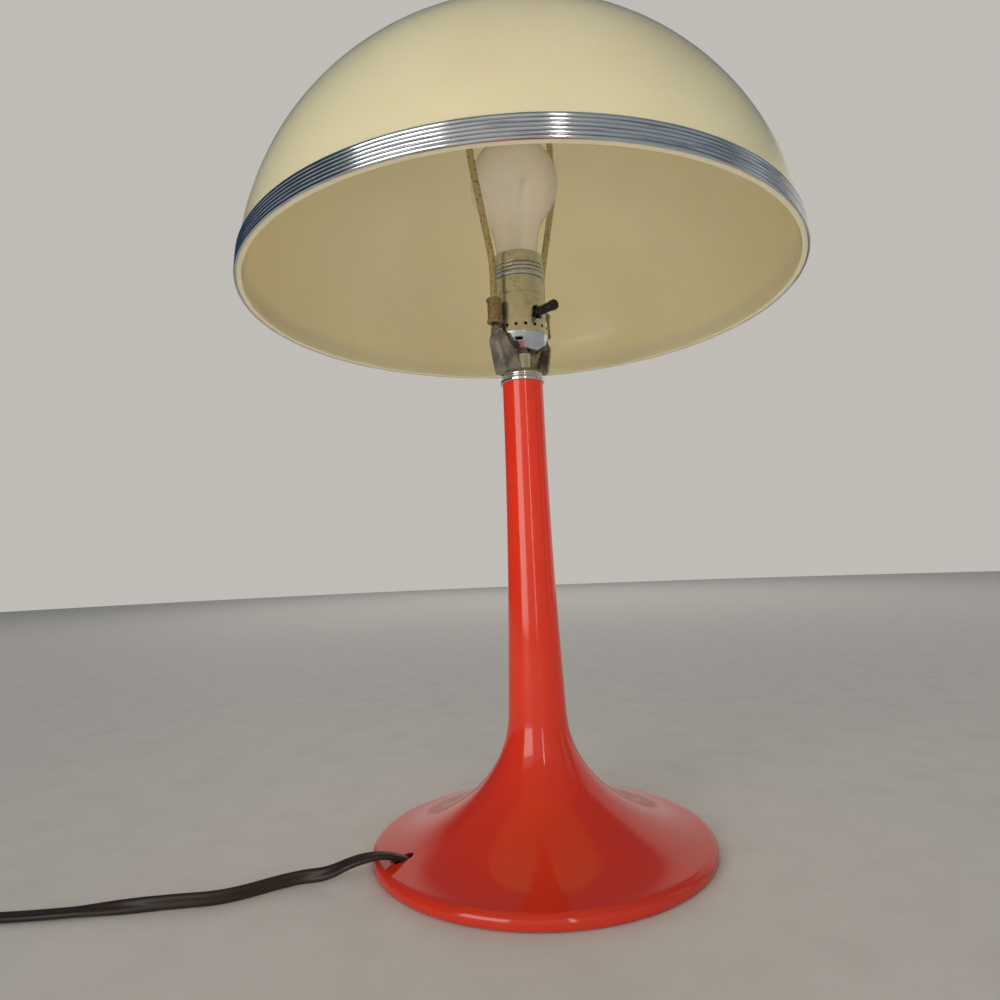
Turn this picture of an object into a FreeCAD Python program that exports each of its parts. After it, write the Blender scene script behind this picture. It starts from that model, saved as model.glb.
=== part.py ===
"""Mushroom table lamp: a trumpet foot, a harp, a turn-knob bulb holder and a domed shade.

All lengths are in millimetres, Z points up and the origin is the middle of the underside of the foot.
"""
import FreeCAD
import Part
import Sketcher
import math
import os
import re

Vector = FreeCAD.Vector
doc = FreeCAD.newDocument("MushroomLamp")

# Driving sizes: name, value, what it measures. Text that starts with "=" is worked out by the sheet.
SIZES = """
felt_thickness 2 | felt disc under the foot
felt_radius 100 | felt disc
lip_rise 0.8 | height of the painted lip above the table
base_radius 105 | foot at its widest
skin_wall 1.6 | spun steel of the trumpet
stem_top 294 | top end of the red stem
stem_radius 12.6 | stem at its top end
stem_sweep 4560 | long curve of the stem's side
stem_lean 2.7 | slope of the stem's side where the foot's curve starts, in degrees
foot_sweep 64 | curve between stem and skirt
foot_slope 51.7 | slope where the skirt's curve starts, in degrees
skirt_slope 84.3 | slope at the lip, in degrees
lip_curve 4.5 | rounding of the lip
lip_start =base_radius - lip_curve * (1 - cos(skirt_slope)) | radius where the lip's rounding starts
stem_foot_r =stem_radius + stem_sweep * (1 - cos(stem_lean)) | radius at the stem's lower end
stem_foot_z =stem_top - stem_sweep * sin(stem_lean) | height of the stem's lower end
skirt_top_r =stem_foot_r + foot_sweep * (cos(stem_lean) - cos(foot_slope)) | radius at the skirt's top
skirt_top_z =stem_foot_z - foot_sweep * (sin(foot_slope) - sin(stem_lean)) | height of the skirt's top
skirt_sweep =(lip_start - skirt_top_r) / (cos(foot_slope) - cos(skirt_slope)) | curve of the skirt
lip_start_z =skirt_top_z - skirt_sweep * (sin(skirt_slope) - sin(foot_slope)) | height where the lip starts
exit_azimuth 206.3 | direction of the cord's hole from +X, in degrees
exit_radius 90.3 | distance of the cord's hole from the axis
exit_turn =acos(cos(foot_slope) - (exit_radius - skirt_top_r) / skirt_sweep) | slope at the hole, in degrees
exit_z =skirt_top_z - skirt_sweep * (sin(exit_turn) - sin(foot_slope)) | height of the hole
exit_pitch 24 | rise of the cord as it leaves, in degrees
cord_width 7.4 | flat twin cord across its two cores
core_pair 5.6 | the two cores side by side inside the pipe
exit_gap 0.5 | room round the cord in its hole
pipe_radius 4.95 | threaded pipe outside
pipe_bore 3.4 | threaded pipe inside
pipe_bottom 14 | lower end of the pipe
pipe_top 309 | upper end of the pipe
pipe_fit 0.12 | room round the pipe in what it passes
seat_gap 0.3 | room where a curved face sits on another
weight_radius 96 | cast weight in the foot
weight_turn =acos(cos(foot_slope) - (weight_radius - skirt_top_r) / skirt_sweep) | slope of the skin there, in degrees
weight_edge =skirt_top_z - skirt_sweep * (sin(weight_turn) - sin(foot_slope)) - skin_wall - seat_gap | top of its edge
weight_shoulder 58 | radius where the weight's cone ends
weight_cone 14.5 | height of the weight's flat top
hub_radius 26 | boss round the pipe
hub_top 30 | top of the boss
hub_ceiling 22.4 | roof of the nut's pocket
pocket_radius 19 | nut's pocket
slot_width 9 | cord's slot under the weight
slot_top 9.2 | roof of the cord's slot
notch_start 64 | radius where the slot breaks through the top
washer_radius 12 | flat washer on the pipe
washer_thick 1.4 | flat washer on the pipe
spring_radius 8.4 | lock washer on the pipe
spring_thick 1.3 | lock washer on the pipe
nut_flats 15.9 | hexagon nut across its flats
nut_thick 4.2 | hexagon nut
check_radius 14.7 | chrome ring at its lower lip
check_lip 1.8 | straight lower lip of the ring
check_height 6 | chrome ring
check_top_radius 13.7 | chrome ring at its top
spigot_depth 5 | the ring's spigot inside the stem
spigot_gap 0.35 | room round the spigot
spigot_bore 8 | hollow of the spigot
seat_radius 9.5 | disc under the shade
seat_thick 2.2 | disc under the shade
rim_z 349.3 | shade's lower edge
shade_radius 178.5 | shade's outside at its lower edge
shade_wall 3 | acrylic of the shade
skirt_lean 2.4 | slope of the shade's side at its edge, in degrees
shoulder_sweep 169 | curve of the shade's shoulder
shoulder_end 45.4 | slope where the crown's curve starts, in degrees
crown_r =shade_radius - shoulder_sweep * (cos(skirt_lean) - cos(shoulder_end)) | radius at the crown's edge
crown_z =rim_z + shoulder_sweep * (sin(shoulder_end) - sin(skirt_lean)) | height of the crown's edge
crown_sweep =crown_r / cos(shoulder_end) | curve of the shade's crown
shade_hole 4 | hole for the stud
hole_angle =acos(shade_hole / crown_sweep) | direction of the hole's edge from the crown's centre
crown_centre =crown_z - crown_sweep * sin(shoulder_end) | height of the crown's centre
inner_sweep =crown_sweep - shade_wall | inside of the crown
inner_hole_angle =acos(shade_hole / inner_sweep) | direction of the hole's inner edge
seat_top =crown_centre + sqrt(inner_sweep ^ 2 - seat_radius ^ 2) - 0.05 | top of the disc under the shade
saddle_sheet 1.9 | steel of the harp's saddle
saddle_half 12.2 | half width of the saddle's flat
arm_reach 23.7 | distance of the harp's legs from the axis
arm_bend 326.5 | height where the arms turn upright
tongue_top 339.5 | top of the saddle's tongues
tongue_width 4.1 | tongue inside the sleeve
arm_width 15 | arm at its shoulder
arm_root 9.5 | half width of the arm at its root
arm_ear 318 | height of the arm's widest part
saddle_disc 12.8 | round middle of the saddle
harp_azimuth 47 | direction of the far leg from +X, in degrees
wire_radius 2.3 | harp's wire
leg_gap 0.2 | room between tongue and leg end
leg_straight 365 | height where the legs start to lean out
leg_lean 14 | lean of the legs, in degrees
leg_bend 60 | curves in the legs
arch_radius 31 | curve of the harp's shoulders
harp_spread 40.6 | distance of the legs from the axis at their widest
pad_radius 7.5 | eye at the harp's crown
pad_thick 4.8 | eye at the harp's crown
eye_play 0.1 | play of the stud in the eye
harp_crown =seat_top - seat_thick - eye_play - pad_thick / 2 | height of the wire over the bulb
sleeve_radius 5.05 | sleeve over leg and tongue
sleeve_height 16.5 | sleeve over leg and tongue
sleeve_bottom 330.5 | lower end of the sleeve at rest
sleeve_gap 0.1 | room round the wire in the sleeve
sleeve_shank 0.55 | step of the sleeve's rolled ends
stud_radius 3.1 | threaded stud on the harp
stud_fit 0.15 | room round the stud in the eye
stud_top 528.5 | top of the stud
stud_head 5 | riveted head under the eye
stud_head_thick 1.6 | riveted head under the eye
band_height 12.4 | reeded band
band_sheet 0.8 | reeded band
band_gap 0.15 | room between band and shade
reed_count 6 | reeds of the band
reed_rise 0.55 | height of a reed
reed_bend =((band_height / reed_count / 2) ^ 2 + reed_rise ^ 2) / (2 * reed_rise) | curve of a reed
band_slope =asin(sin(skirt_lean) + band_height / shoulder_sweep) | slope of the shade at the band's top, in degrees
band_top_r =shade_radius - shoulder_sweep * (cos(skirt_lean) - cos(band_slope)) | shade at the band's top
cap_washer 8.5 | washer on the shade
cap_washer_thick 1 | washer on the shade
finial_gap 0.3 | room round the stud in knob and washer
finial_radius 9 | knob on top
finial_height 21 | knob on top
finial_neck 4.2 | waist of the knob
finial_foot 7.2 | foot of the knob
hub_low =stem_top + check_height + saddle_sheet | lower end of the holder's neck
neck_radius 6.4 | holder's neck
neck_top 314.2 | top of the neck
bowl_top 325 | top of the cap's bowl
bowl_curve 13 | curve of the cap's bowl
cap_azimuth -18 | turn of the cap, in degrees
slot_z 319.6 | height of the slot in the bowl
cap_radius 18.3 | cap's rim
cap_top 334 | cap's rim
cap_sheet 0.8 | sheet of the cap
dimple_radius 0.9 | hole in the cap's rim
dimple_z 329.6 | height of the holes
dimple_count 18 | holes in the cap's rim
slot_long 5.5 | slot in the bowl
slot_high 1.6 | slot in the bowl
shell_radius 17.2 | holder's shell
shell_sheet 0.7 | sheet of the shell
shell_bottom 326.4 | lower end of the shell inside the cap
shell_top 380 | open end of the shell
bead_z 352 | rolled line on the shell
bead_rise 0.45 | rolled line on the shell
thread_low 363.4 | start of the shell's coarse thread
thread_high 373.8 | end of the shell's coarse thread
thread_count 4 | turns of the coarse thread
thread_rise 0.7 | height of the coarse thread
coarse_pitch =(thread_high - thread_low) / thread_count | pitch of the coarse thread
coarse_bend =((coarse_pitch / 2) ^ 2 + thread_rise ^ 2) / (2 * thread_rise) | curve of the coarse thread
bead_bend =(1.2 ^ 2 + bead_rise ^ 2) / (2 * bead_rise) | curve of the rolled line
notch_width 8 | notch for the switch
notch_top 343.4 | top of the notch
knob_azimuth -48 | direction of the switch from +X, in degrees
knob_z 338.2 | height of the switch's shaft
liner_wall 0.7 | card tube inside the shell
liner_gap 0.15 | room between card and shell
liner_top 376 | open end of the card tube
block_radius 14.6 | moulded block inside the holder
block_low 318.5 | underside of the block
block_top 348 | top of the block
block_foot 10.5 | block's narrow foot
switch_radius 6.5 | switch chamber in the block
shaft_radius 1.6 | switch's shaft
shaft_fit 0.08 | room round the shaft
rotor_radius 5.4 | switch's rotor
rotor_long 5 | switch's rotor
knob_start 19 | inner end of the knob
knob_end 34.5 | outer end of the knob
knob_radius 3 | knob
knob_tip 3.4 | knob at its tip
knob_flutes 8 | grooves on the knob
knob_bore_end 27 | end of the shaft in the knob
screw_low 351.2 | underside of the brass screw shell
screw_sheet 0.45 | brass screw shell
screw_floor 7.2 | hole in the screw shell's floor
thread_zero 360.4 | height where the bulb's thread starts
thread_pitch 3.62 | pitch of the bulb's thread
thread_turns 4 | turns of the bulb's thread
thread_middle 12.65 | mean radius of the bulb's thread
thread_half 0.42 | half depth of the bulb's thread
thread_bend =((thread_pitch / 4) ^ 2 + thread_half ^ 2) / (2 * thread_half) | curve of the thread
thread_room 0.2 | room between the bulb's thread and the screw shell
tab_thick 0.6 | spring tab for the bulb's tip
tab_half 3 | half width of the tab
term_radius 2.9 | binding screws
term_shank 1.6 | binding screws
term_z 331 | height of the binding screws
term_seat 11.4 | flat under each binding screw, from the axis
term_head 2 | head of a binding screw
bulb_seat 354.2 | underside of the bulb's tip contact
tip_radius 4.6 | solder tip
tip_thick 1.2 | solder tip
dish_radius 6.6 | black glass under the bulb
dish_thick 2.6 | black glass under the bulb
base_sheet 0.35 | bulb's screw base
base_top 379.6 | top of the bulb's screw base
globe_radius 30 | bulb at its widest
globe_neck 13.3 | bulb's glass at its neck
globe_wall 0.8 | bulb's glass
globe_centre 434.5 | height of the bulb's widest part
flare_z 387 | height where the neck starts to widen
flare_radius 14 | neck where it starts to widen
flare_angle 35 | slope where the flare meets the globe, in degrees
flare_sweep 59 | curve of the flare
mount_radius 4.2 | glass stem inside the bulb
mount_top 418 | glass stem inside the bulb
filament_z 434 | height of the filament
filament_reach 11 | half length of the filament
filament_wire 0.4 | filament
lead_gap 2.6 | lead wires at the top of the glass stem
plug_back 9.6 | plug where the cord goes in
plug_long 29 | plug
plug_tall 22.6 | plug at its face, across the two blades
plug_wide 13.6 | plug at its face
blade_wide 6.3 | blade
blade_thick 1.5 | blade
blade_long 16.5 | blade
blade_gap 12.7 | distance of the blades
"""


def alias_text(text):
    """Point every size name in an expression at the sheet: all of them hold an underscore."""
    return re.sub(r"\b([a-z]+(?:_[a-z0-9]+)+)\b", r"Size.\1", str(text))


def fill_sheet():
    """Write the driving sizes into the sheet, one row each, with an alias for every value."""
    sheet = doc.addObject("Spreadsheet::Sheet", "Size")
    for row, line in enumerate(SIZES.strip().splitlines(), start=1):
        head, note = line.split("|")
        name, value = head.strip().split(" ", 1)
        sheet.set("A%d" % row, name)
        sheet.setAlias("B%d" % row, name)
        sheet.set("B%d" % row, value)
        sheet.set("C%d" % row, note.strip())
    doc.recompute()
    return sheet


sheet = fill_sheet()


def size(text):
    """Value of an expression in the sheet's names."""
    value = sheet.evalExpression(text)
    return float(getattr(value, "Value", value))


def new_body(label, turn=None):
    """A named body. With turn, the size that turns it about the upright axis, it is built along +X first."""
    body = doc.addObject("PartDesign::Body", label)
    body.Label = label
    if turn:
        body.Placement = FreeCAD.Placement(Vector(), FreeCAD.Rotation(Vector(0, 0, 1), size(turn)))
        body.setExpression("Placement.Rotation.Angle", alias_text(turn))
    return body


def new_sketch(body, name, plane="XZ_Plane", level=None):
    """A sketch on one of the body's own planes, moved along the plane's normal by the size level."""
    sketch = body.newObject("Sketcher::SketchObject", body.Label + "_" + name)
    support = [part for part in body.Origin.OriginFeatures if part.Role == plane][0]
    sketch.AttachmentSupport = [(support, "")]
    sketch.MapMode = "FlatFace"
    if level is not None:
        sketch.setExpression("AttachmentOffset.Base.z", alias_text(level))
    return sketch


def arc_between(start, end, radius):
    """Arc of under a half turn from start to end, turning left where the radius is positive."""
    chord = end - start
    half = chord.Length / 2
    rise = math.sqrt(max(radius * radius - half * half, 0.0))
    left = Vector(-chord.y, chord.x, 0).normalize()
    centre = (start + end) / 2 + left * math.copysign(rise, radius)
    ends = (start, end) if radius > 0 else (end, start)
    angles = [math.atan2(point.y - centre.y, point.x - centre.x) for point in ends]
    return Part.ArcOfCircle(Part.Circle(centre, Vector(0, 0, 1), abs(radius)), angles[0], angles[1])


def pin(sketch, edge, vertex, across, up):
    """Hold one end of an edge at the sizes across and up."""
    for kind, text in (("DistanceX", across), ("DistanceY", up)):
        row = sketch.addConstraint(Sketcher.Constraint(kind, edge, vertex, size(text)))
        sketch.setExpression("Constraints[%d]" % row, alias_text(text))


def outline(sketch, corners, closing=None, closed=True):
    """Draw lines and arcs through corners of (across, up) or (across, up, radius of the arc to it).

    closing is the radius of the arc back to the first corner, where that edge is one.
    """
    if closing:
        corners = [tuple(corners[0]) + (closing,)] + list(corners[1:])
    places = [Vector(size(corner[0]), size(corner[1]), 0) for corner in corners]
    count = len(corners)
    ends = []
    for index in range(count if closed else count - 1):
        follow = (index + 1) % count
        bend = corners[follow][2] if len(corners[follow]) > 2 else None
        if bend is None:
            edge = sketch.addGeometry(Part.LineSegment(places[index], places[follow]), False)
            ends.append((edge, 1, 2))
            continue
        radius = size(bend)
        edge = sketch.addGeometry(arc_between(places[index], places[follow], radius), False)
        ends.append((edge, 1, 2) if radius > 0 else (edge, 2, 1))
        row = sketch.addConstraint(Sketcher.Constraint("Radius", edge, abs(radius)))
        sketch.setExpression("Constraints[%d]" % row, "abs(%s)" % alias_text(bend))
    for index, (edge, first, last) in enumerate(ends):
        pin(sketch, edge, first, corners[index][0], corners[index][1])
        if closed or index + 1 < len(ends):
            follow = ends[(index + 1) % len(ends)]
            sketch.addConstraint(Sketcher.Constraint("Coincident", edge, last, follow[0], follow[1]))
        else:
            pin(sketch, edge, last, corners[-1][0], corners[-1][1])
    return sketch


def circle(sketch, across, up, radius):
    """Draw a circle held by three sizes."""
    middle = Vector(size(across), size(up), 0)
    edge = sketch.addGeometry(Part.Circle(middle, Vector(0, 0, 1), size(radius)), False)
    pin(sketch, edge, 3, across, up)
    row = sketch.addConstraint(Sketcher.Constraint("Radius", edge, size(radius)))
    sketch.setExpression("Constraints[%d]" % row, alias_text(radius))
    return sketch


def reversed_order(corners):
    """The corners in reverse order, with each arc handed to the corner that it now leads to."""
    turned_round = [tuple(corners[-1][:2])]
    for corner, following in zip(corners[-2::-1], corners[:0:-1]):
        turned_round.append(tuple(corner[:2]) + tuple(following[2:]))
    return turned_round


def mirrored(corners):
    """The other half of an outline that is alike on both sides of the upright axis."""
    return [("-(%s)" % corner[0],) + corner[1:] for corner in reversed_order(corners)]


def run_back(corners):
    """The same line run the other way: its arcs turn the other way too."""
    return [corner[:2] + tuple("-(%s)" % bend for bend in corner[2:]) for corner in reversed_order(corners)]


def turned_body(label, corners, closing=None, turn=None):
    """A body whose outline of (radius, height) corners is turned about the upright axis."""
    body = new_body(label, turn)
    sketch = outline(new_sketch(body, "outline"), corners, closing)
    feature = body.newObject("PartDesign::Revolution", label + "_turn")
    feature.Profile = sketch
    feature.ReferenceAxis = (sketch, ["V_Axis"])
    feature.Angle = 360
    return body


def padded(body, sketch, length, both_ways=False):
    """Thicken a sketch by a size."""
    feature = body.newObject("PartDesign::Pad", sketch.Name + "_pad")
    feature.Profile = sketch
    feature.setExpression("Length", alias_text(length))
    feature.Midplane = both_ways
    return feature


def pocketed(body, sketch, length=None, both_ways=False, reverse=False):
    """Cut a sketch into the body, by a size or all the way."""
    feature = body.newObject("PartDesign::Pocket", sketch.Name + "_pocket")
    feature.Profile = sketch
    if length is None:
        feature.Type = "ThroughAll"
    else:
        feature.setExpression("Length", alias_text(length))
    feature.Midplane = both_ways
    feature.Reversed = reverse
    return feature


def around(body, feature, count):
    """Repeat a feature evenly about the upright axis."""
    pattern = body.newObject("PartDesign::PolarPattern", feature.Name + "_round")
    pattern.Originals = [feature]
    axis = [part for part in body.Origin.OriginFeatures if part.Role == "Z_Axis"][0]
    pattern.Axis = (axis, [""])
    pattern.Angle = 360
    pattern.setExpression("Occurrences", alias_text(count))
    body.Tip = pattern
    return pattern


def ring_body(label, inner, outer, low, high):
    """A plain turned ring."""
    return turned_body(label, [(inner, low), (outer, low), (outer, high), (inner, high)])


# ---------------------------------------------------------------- foot and stem
def trumpet_base():
    """Spun trumpet: a lip, a concave skirt, the foot's curve and the slender stem, open at the top."""
    body = turned_body("trumpet_base", [
        ("base_radius - skin_wall", "lip_rise"),
        ("base_radius", "lip_rise"),
        ("base_radius", "lip_start_z - lip_curve * sin(skirt_slope)"),
        ("lip_start", "lip_start_z", "lip_curve"),
        ("skirt_top_r", "skirt_top_z", "-skirt_sweep"),
        ("stem_foot_r", "stem_foot_z", "-foot_sweep"),
        ("stem_radius", "stem_top", "-stem_sweep"),
        ("stem_radius - skin_wall", "stem_top"),
        ("stem_foot_r - skin_wall * cos(stem_lean)", "stem_foot_z - skin_wall * sin(stem_lean)",
         "stem_sweep + skin_wall"),
        ("skirt_top_r - skin_wall * cos(foot_slope)", "skirt_top_z - skin_wall * sin(foot_slope)",
         "foot_sweep + skin_wall"),
        ("lip_start - skin_wall * cos(skirt_slope)", "lip_start_z - skin_wall * sin(skirt_slope)",
         "skirt_sweep + skin_wall"),
        ("base_radius - skin_wall", "lip_start_z - lip_curve * sin(skirt_slope)", "skin_wall - lip_curve"),
    ], turn="exit_azimuth")
    sketch = new_sketch(body, "exit", "YZ_Plane")
    sketch.AttachmentOffset = FreeCAD.Placement(Vector(), FreeCAD.Rotation(Vector(1, 0, 0), -size("exit_pitch")))
    sketch.setExpression("AttachmentOffset.Base.y", alias_text("exit_z"))
    sketch.setExpression("AttachmentOffset.Base.z", alias_text("exit_radius"))
    sketch.setExpression("AttachmentOffset.Rotation.Angle", alias_text("exit_pitch"))
    circle(sketch, "0", "0", "cord_width / 2 + exit_gap")
    pocketed(body, sketch, "cord_width * 2", both_ways=True)
    return body


def base_weight():
    """Cast weight: a dished disc with a boss for the pipe, a nut pocket and a slot for the cord."""
    body = turned_body("base_weight", [
        ("pipe_radius + pipe_fit", "hub_ceiling"),
        ("pocket_radius", "hub_ceiling"),
        ("pocket_radius + 1.5", "felt_thickness"),
        ("weight_radius", "felt_thickness"),
        ("weight_radius", "weight_edge"),
        ("weight_shoulder", "weight_cone"),
        ("hub_radius + 3", "weight_cone + 2", "-(weight_shoulder * 3)"),
        ("hub_radius", "hub_top"),
        ("pipe_radius + pipe_fit", "hub_top"),
    ], turn="exit_azimuth")
    slot = new_sketch(body, "slot", "XY_Plane", "felt_thickness")
    outline(slot, [("pocket_radius - 3", "-slot_width / 2"), ("weight_radius + 2", "-slot_width / 2"),
                   ("weight_radius + 2", "slot_width / 2"), ("pocket_radius - 3", "slot_width / 2")])
    pocketed(body, slot, "slot_top - felt_thickness", reverse=True)
    notch = new_sketch(body, "notch", "XY_Plane", "felt_thickness")
    outline(notch, [("notch_start", "-slot_width / 2"), ("weight_radius + 2", "-slot_width / 2"),
                    ("weight_radius + 2", "slot_width / 2"), ("notch_start", "slot_width / 2")])
    pocketed(body, notch, reverse=True)
    return body


def hex_nut(label):
    """Hexagon nut on the pipe, with its upper and lower corners turned off."""
    low = "hub_ceiling - washer_thick - spring_thick - nut_thick"
    prism = doc.addObject("Part::Prism", label + "_hexagon")
    prism.Polygon = 6
    prism.setExpression("Circumradius", alias_text("nut_flats / 2 / cos(30)"))
    prism.setExpression("Height", alias_text("nut_thick"))
    prism.setExpression("Placement.Base.z", alias_text(low))
    bore = doc.addObject("Part::Cylinder", label + "_bore")
    bore.setExpression("Radius", alias_text("pipe_radius + pipe_fit"))
    bore.setExpression("Height", alias_text("nut_thick * 3"))
    bore.setExpression("Placement.Base.z", alias_text(low + " - nut_thick"))
    blank = doc.addObject("Part::Cut", label + "_blank")
    blank.Base = prism
    blank.Tool = bore
    domes = doc.addObject("Part::Sphere", label + "_corners")
    domes.setExpression("Radius", alias_text("nut_flats * 0.59"))
    domes.setExpression("Placement.Base.z", alias_text(low + " + nut_thick / 2"))
    nut = doc.addObject("Part::Common", label)
    nut.Base = blank
    nut.Tool = domes
    nut.Label = label
    return nut


def foot_pieces():
    """The foot's skin, its weight, the felt, and the pipe with the fasteners that clamp them."""
    washer_low = "hub_ceiling - washer_thick"
    return [
        trumpet_base(),
        base_weight(),
        turned_body("felt_pad", [("0", "0"), ("felt_radius", "0"), ("felt_radius", "felt_thickness"),
                                 ("0", "felt_thickness")]),
        ring_body("stem_pipe", "pipe_bore", "pipe_radius", "pipe_bottom", "pipe_top"),
        ring_body("base_washer", "pipe_radius + pipe_fit", "washer_radius", washer_low, "hub_ceiling"),
        ring_body("base_lock_washer", "pipe_radius + pipe_fit", "spring_radius",
                  washer_low + " - spring_thick", washer_low),
        hex_nut("base_hex_nut"),
        turned_body("check_ring", [
            ("pipe_radius + pipe_fit", "stem_top + check_height - 1.6"),
            ("spigot_bore", "stem_top + check_height - 1.6"),
            ("spigot_bore", "stem_top - spigot_depth"),
            ("stem_radius - skin_wall - spigot_gap", "stem_top - spigot_depth"),
            ("stem_radius - skin_wall - spigot_gap", "stem_top"),
            ("check_radius - 0.5", "stem_top"),
            ("check_radius", "stem_top + 0.5"),
            ("check_radius", "stem_top + check_lip"),
            ("check_top_radius", "stem_top + check_height - 0.6", "-check_height"),
            ("check_top_radius - 0.6", "stem_top + check_height"),
            ("pipe_radius + pipe_fit", "stem_top + check_height"),
        ]),
    ]


# ---------------------------------------------------------------- shade
def shade_dome():
    """Acrylic dome of even wall: a steep shoulder and a flatter crown with a hole for the stud."""
    return turned_body("shade_dome", [
        ("shade_radius - shade_wall / cos(skirt_lean)", "rim_z"),
        ("shade_radius", "rim_z"),
        ("crown_r", "crown_z", "shoulder_sweep"),
        ("shade_hole", "crown_centre + crown_sweep * sin(hole_angle)", "crown_sweep"),
        ("shade_hole", "crown_centre + inner_sweep * sin(inner_hole_angle)"),
        ("crown_r - shade_wall * cos(shoulder_end)", "crown_z - shade_wall * sin(shoulder_end)",
         "-inner_sweep"),
    ], "shade_wall - shoulder_sweep")


def shade_band():
    """Bright trim round the shade's edge, with half-round reeds one above the other."""
    low = "shade_radius + band_gap"
    high = "band_top_r + band_gap"
    reeds = int(size("reed_count"))
    corners = [(low, "rim_z"), (low + " + band_sheet", "rim_z")]
    for reed in range(1, reeds + 1):
        share = " * %d / reed_count" % reed
        across = "%s + band_sheet - (shade_radius - band_top_r)%s" % (low, share)
        corners.append((across, "rim_z + band_height" + share, "reed_bend"))
    corners.append((high, "rim_z + band_height"))
    return turned_body("shade_band", corners)


def shade_pieces():
    """The dome, its trim, the washer on top and the knob that holds it down."""
    low = "crown_centre + crown_sweep"
    foot = low + " + cap_washer_thick"
    return [
        shade_dome(),
        shade_band(),
        ring_body("shade_washer", "stud_radius + finial_gap", "cap_washer", low, foot),
        turned_body("finial", [
            ("0", foot + " + finial_height"),
            ("0", foot + " + finial_height - 6"),
            ("stud_radius + finial_gap / 2", foot + " + finial_height - 7.5"),
            ("stud_radius + finial_gap / 2", foot),
            ("finial_foot", foot),
            ("finial_foot", foot + " + 1.4"),
            ("finial_neck", foot + " + 5.5", "-finial_foot"),
            ("finial_radius", foot + " + finial_height - 8", "-finial_radius"),
            ("finial_radius - 1", foot + " + finial_height - 4", "finial_radius"),
            ("finial_radius - 4.5", foot + " + finial_height", "finial_radius"),
        ]),
    ]


# ---------------------------------------------------------------- harp
def harp_saddle():
    """Stamped steel saddle: a round flat on the pipe and two arms that narrow to tongues."""
    body = new_body("harp_saddle", "harp_azimuth")
    half = "saddle_sheet / 2"
    low = "stem_top + check_height"
    right = [
        ("saddle_half", low),
        ("arm_reach + " + half, "arm_bend"),
        ("arm_reach + " + half, "tongue_top"),
        ("arm_reach - " + half, "tongue_top"),
        ("arm_reach - " + half, "arm_bend + 0.6"),
        ("saddle_half - saddle_sheet * 0.7", low + " + saddle_sheet"),
    ]
    strip = outline(new_sketch(body, "strip"), right + mirrored(right))
    padded(body, strip, "saddle_disc * 2", both_ways=True)
    trim = new_sketch(body, "trim", "YZ_Plane")
    side = [
        ("arm_root", low + " - 1"),
        ("arm_root", low + " + saddle_sheet + 1"),
        ("arm_width / 2 - 0.7", "arm_ear - 6"),
        ("arm_width / 2", "arm_ear"),
        ("arm_width / 2 - 1.2", "arm_ear + 3.5", "arm_width / 2"),
        ("tongue_width / 2", "sleeve_bottom - 1.5", "-arm_width"),
        ("tongue_width / 2", "tongue_top + 1"),
    ]
    outline(trim, side + mirrored(side))
    far = "saddle_disc + 3"
    outline(trim, [("-(%s)" % far, low + " - 2"), (far, low + " - 2"), (far, "tongue_top + 2"),
                   ("-(%s)" % far, "tongue_top + 2")])
    pocketed(body, trim, both_ways=True)
    disc = circle(new_sketch(body, "disc", "XY_Plane", low), "0", "0", "saddle_disc")
    padded(body, disc, "saddle_sheet")
    hole = circle(new_sketch(body, "hole", "XY_Plane"), "0", "0", "pipe_radius + pipe_fit")
    pocketed(body, hole, both_ways=True)
    return body


def harp():
    """Brass wire: upright legs, a lean outwards, tall sides and rounded shoulders, with an eye on top."""
    body = new_body("harp", "harp_azimuth")
    shift = "leg_bend * (1 - cos(leg_lean))"
    rise = "leg_bend * sin(leg_lean)"
    slant = "(harp_spread - arm_reach - 2 * %s) / tan(leg_lean)" % shift
    right = [
        ("arm_reach", "tongue_top + leg_gap"),
        ("arm_reach", "leg_straight"),
        ("arm_reach + " + shift, "leg_straight + " + rise, "-leg_bend"),
        ("harp_spread - " + shift, "leg_straight + %s + %s" % (rise, slant)),
        ("harp_spread", "leg_straight + 2 * %s + %s" % (rise, slant), "leg_bend"),
        ("harp_spread", "harp_crown - arch_radius"),
        ("harp_spread - arch_radius", "harp_crown", "arch_radius"),
    ]
    path = outline(new_sketch(body, "path"), right + mirrored(right), closed=False)
    wire = circle(new_sketch(body, "wire", "XY_Plane", "tongue_top + leg_gap"), "arm_reach", "0", "wire_radius")
    pipe = body.newObject("PartDesign::AdditivePipe", "harp_pipe")
    pipe.Profile = wire
    pipe.Spine = (path, [])
    eye = circle(new_sketch(body, "eye", "XY_Plane", "harp_crown"), "0", "0", "pad_radius")
    padded(body, eye, "pad_thick", both_ways=True)
    hole = circle(new_sketch(body, "hole", "XY_Plane", "harp_crown"), "0", "0", "stud_radius + stud_fit")
    pocketed(body, hole, "pad_thick * 2", both_ways=True)
    return body


def sleeve(label, side):
    """Sleeve that locks one leg to its tongue; it lifts to let the harp go."""
    edge = "sleeve_radius - sleeve_shank"
    top = "sleeve_bottom + sleeve_height"
    body = turned_body(label, [
        ("wire_radius + sleeve_gap", "sleeve_bottom"),
        ("sleeve_radius", "sleeve_bottom"),
        ("sleeve_radius", "sleeve_bottom + 1.6"),
        (edge, "sleeve_bottom + 2.2"),
        (edge, top + " - 2.2"),
        ("sleeve_radius", top + " - 1.6"),
        ("sleeve_radius", top),
        ("wire_radius + sleeve_gap", top),
    ])
    body.setExpression("Placement.Base.x", alias_text("%s * arm_reach * cos(harp_azimuth)" % side))
    body.setExpression("Placement.Base.y", alias_text("%s * arm_reach * sin(harp_azimuth)" % side))
    return body


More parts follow.
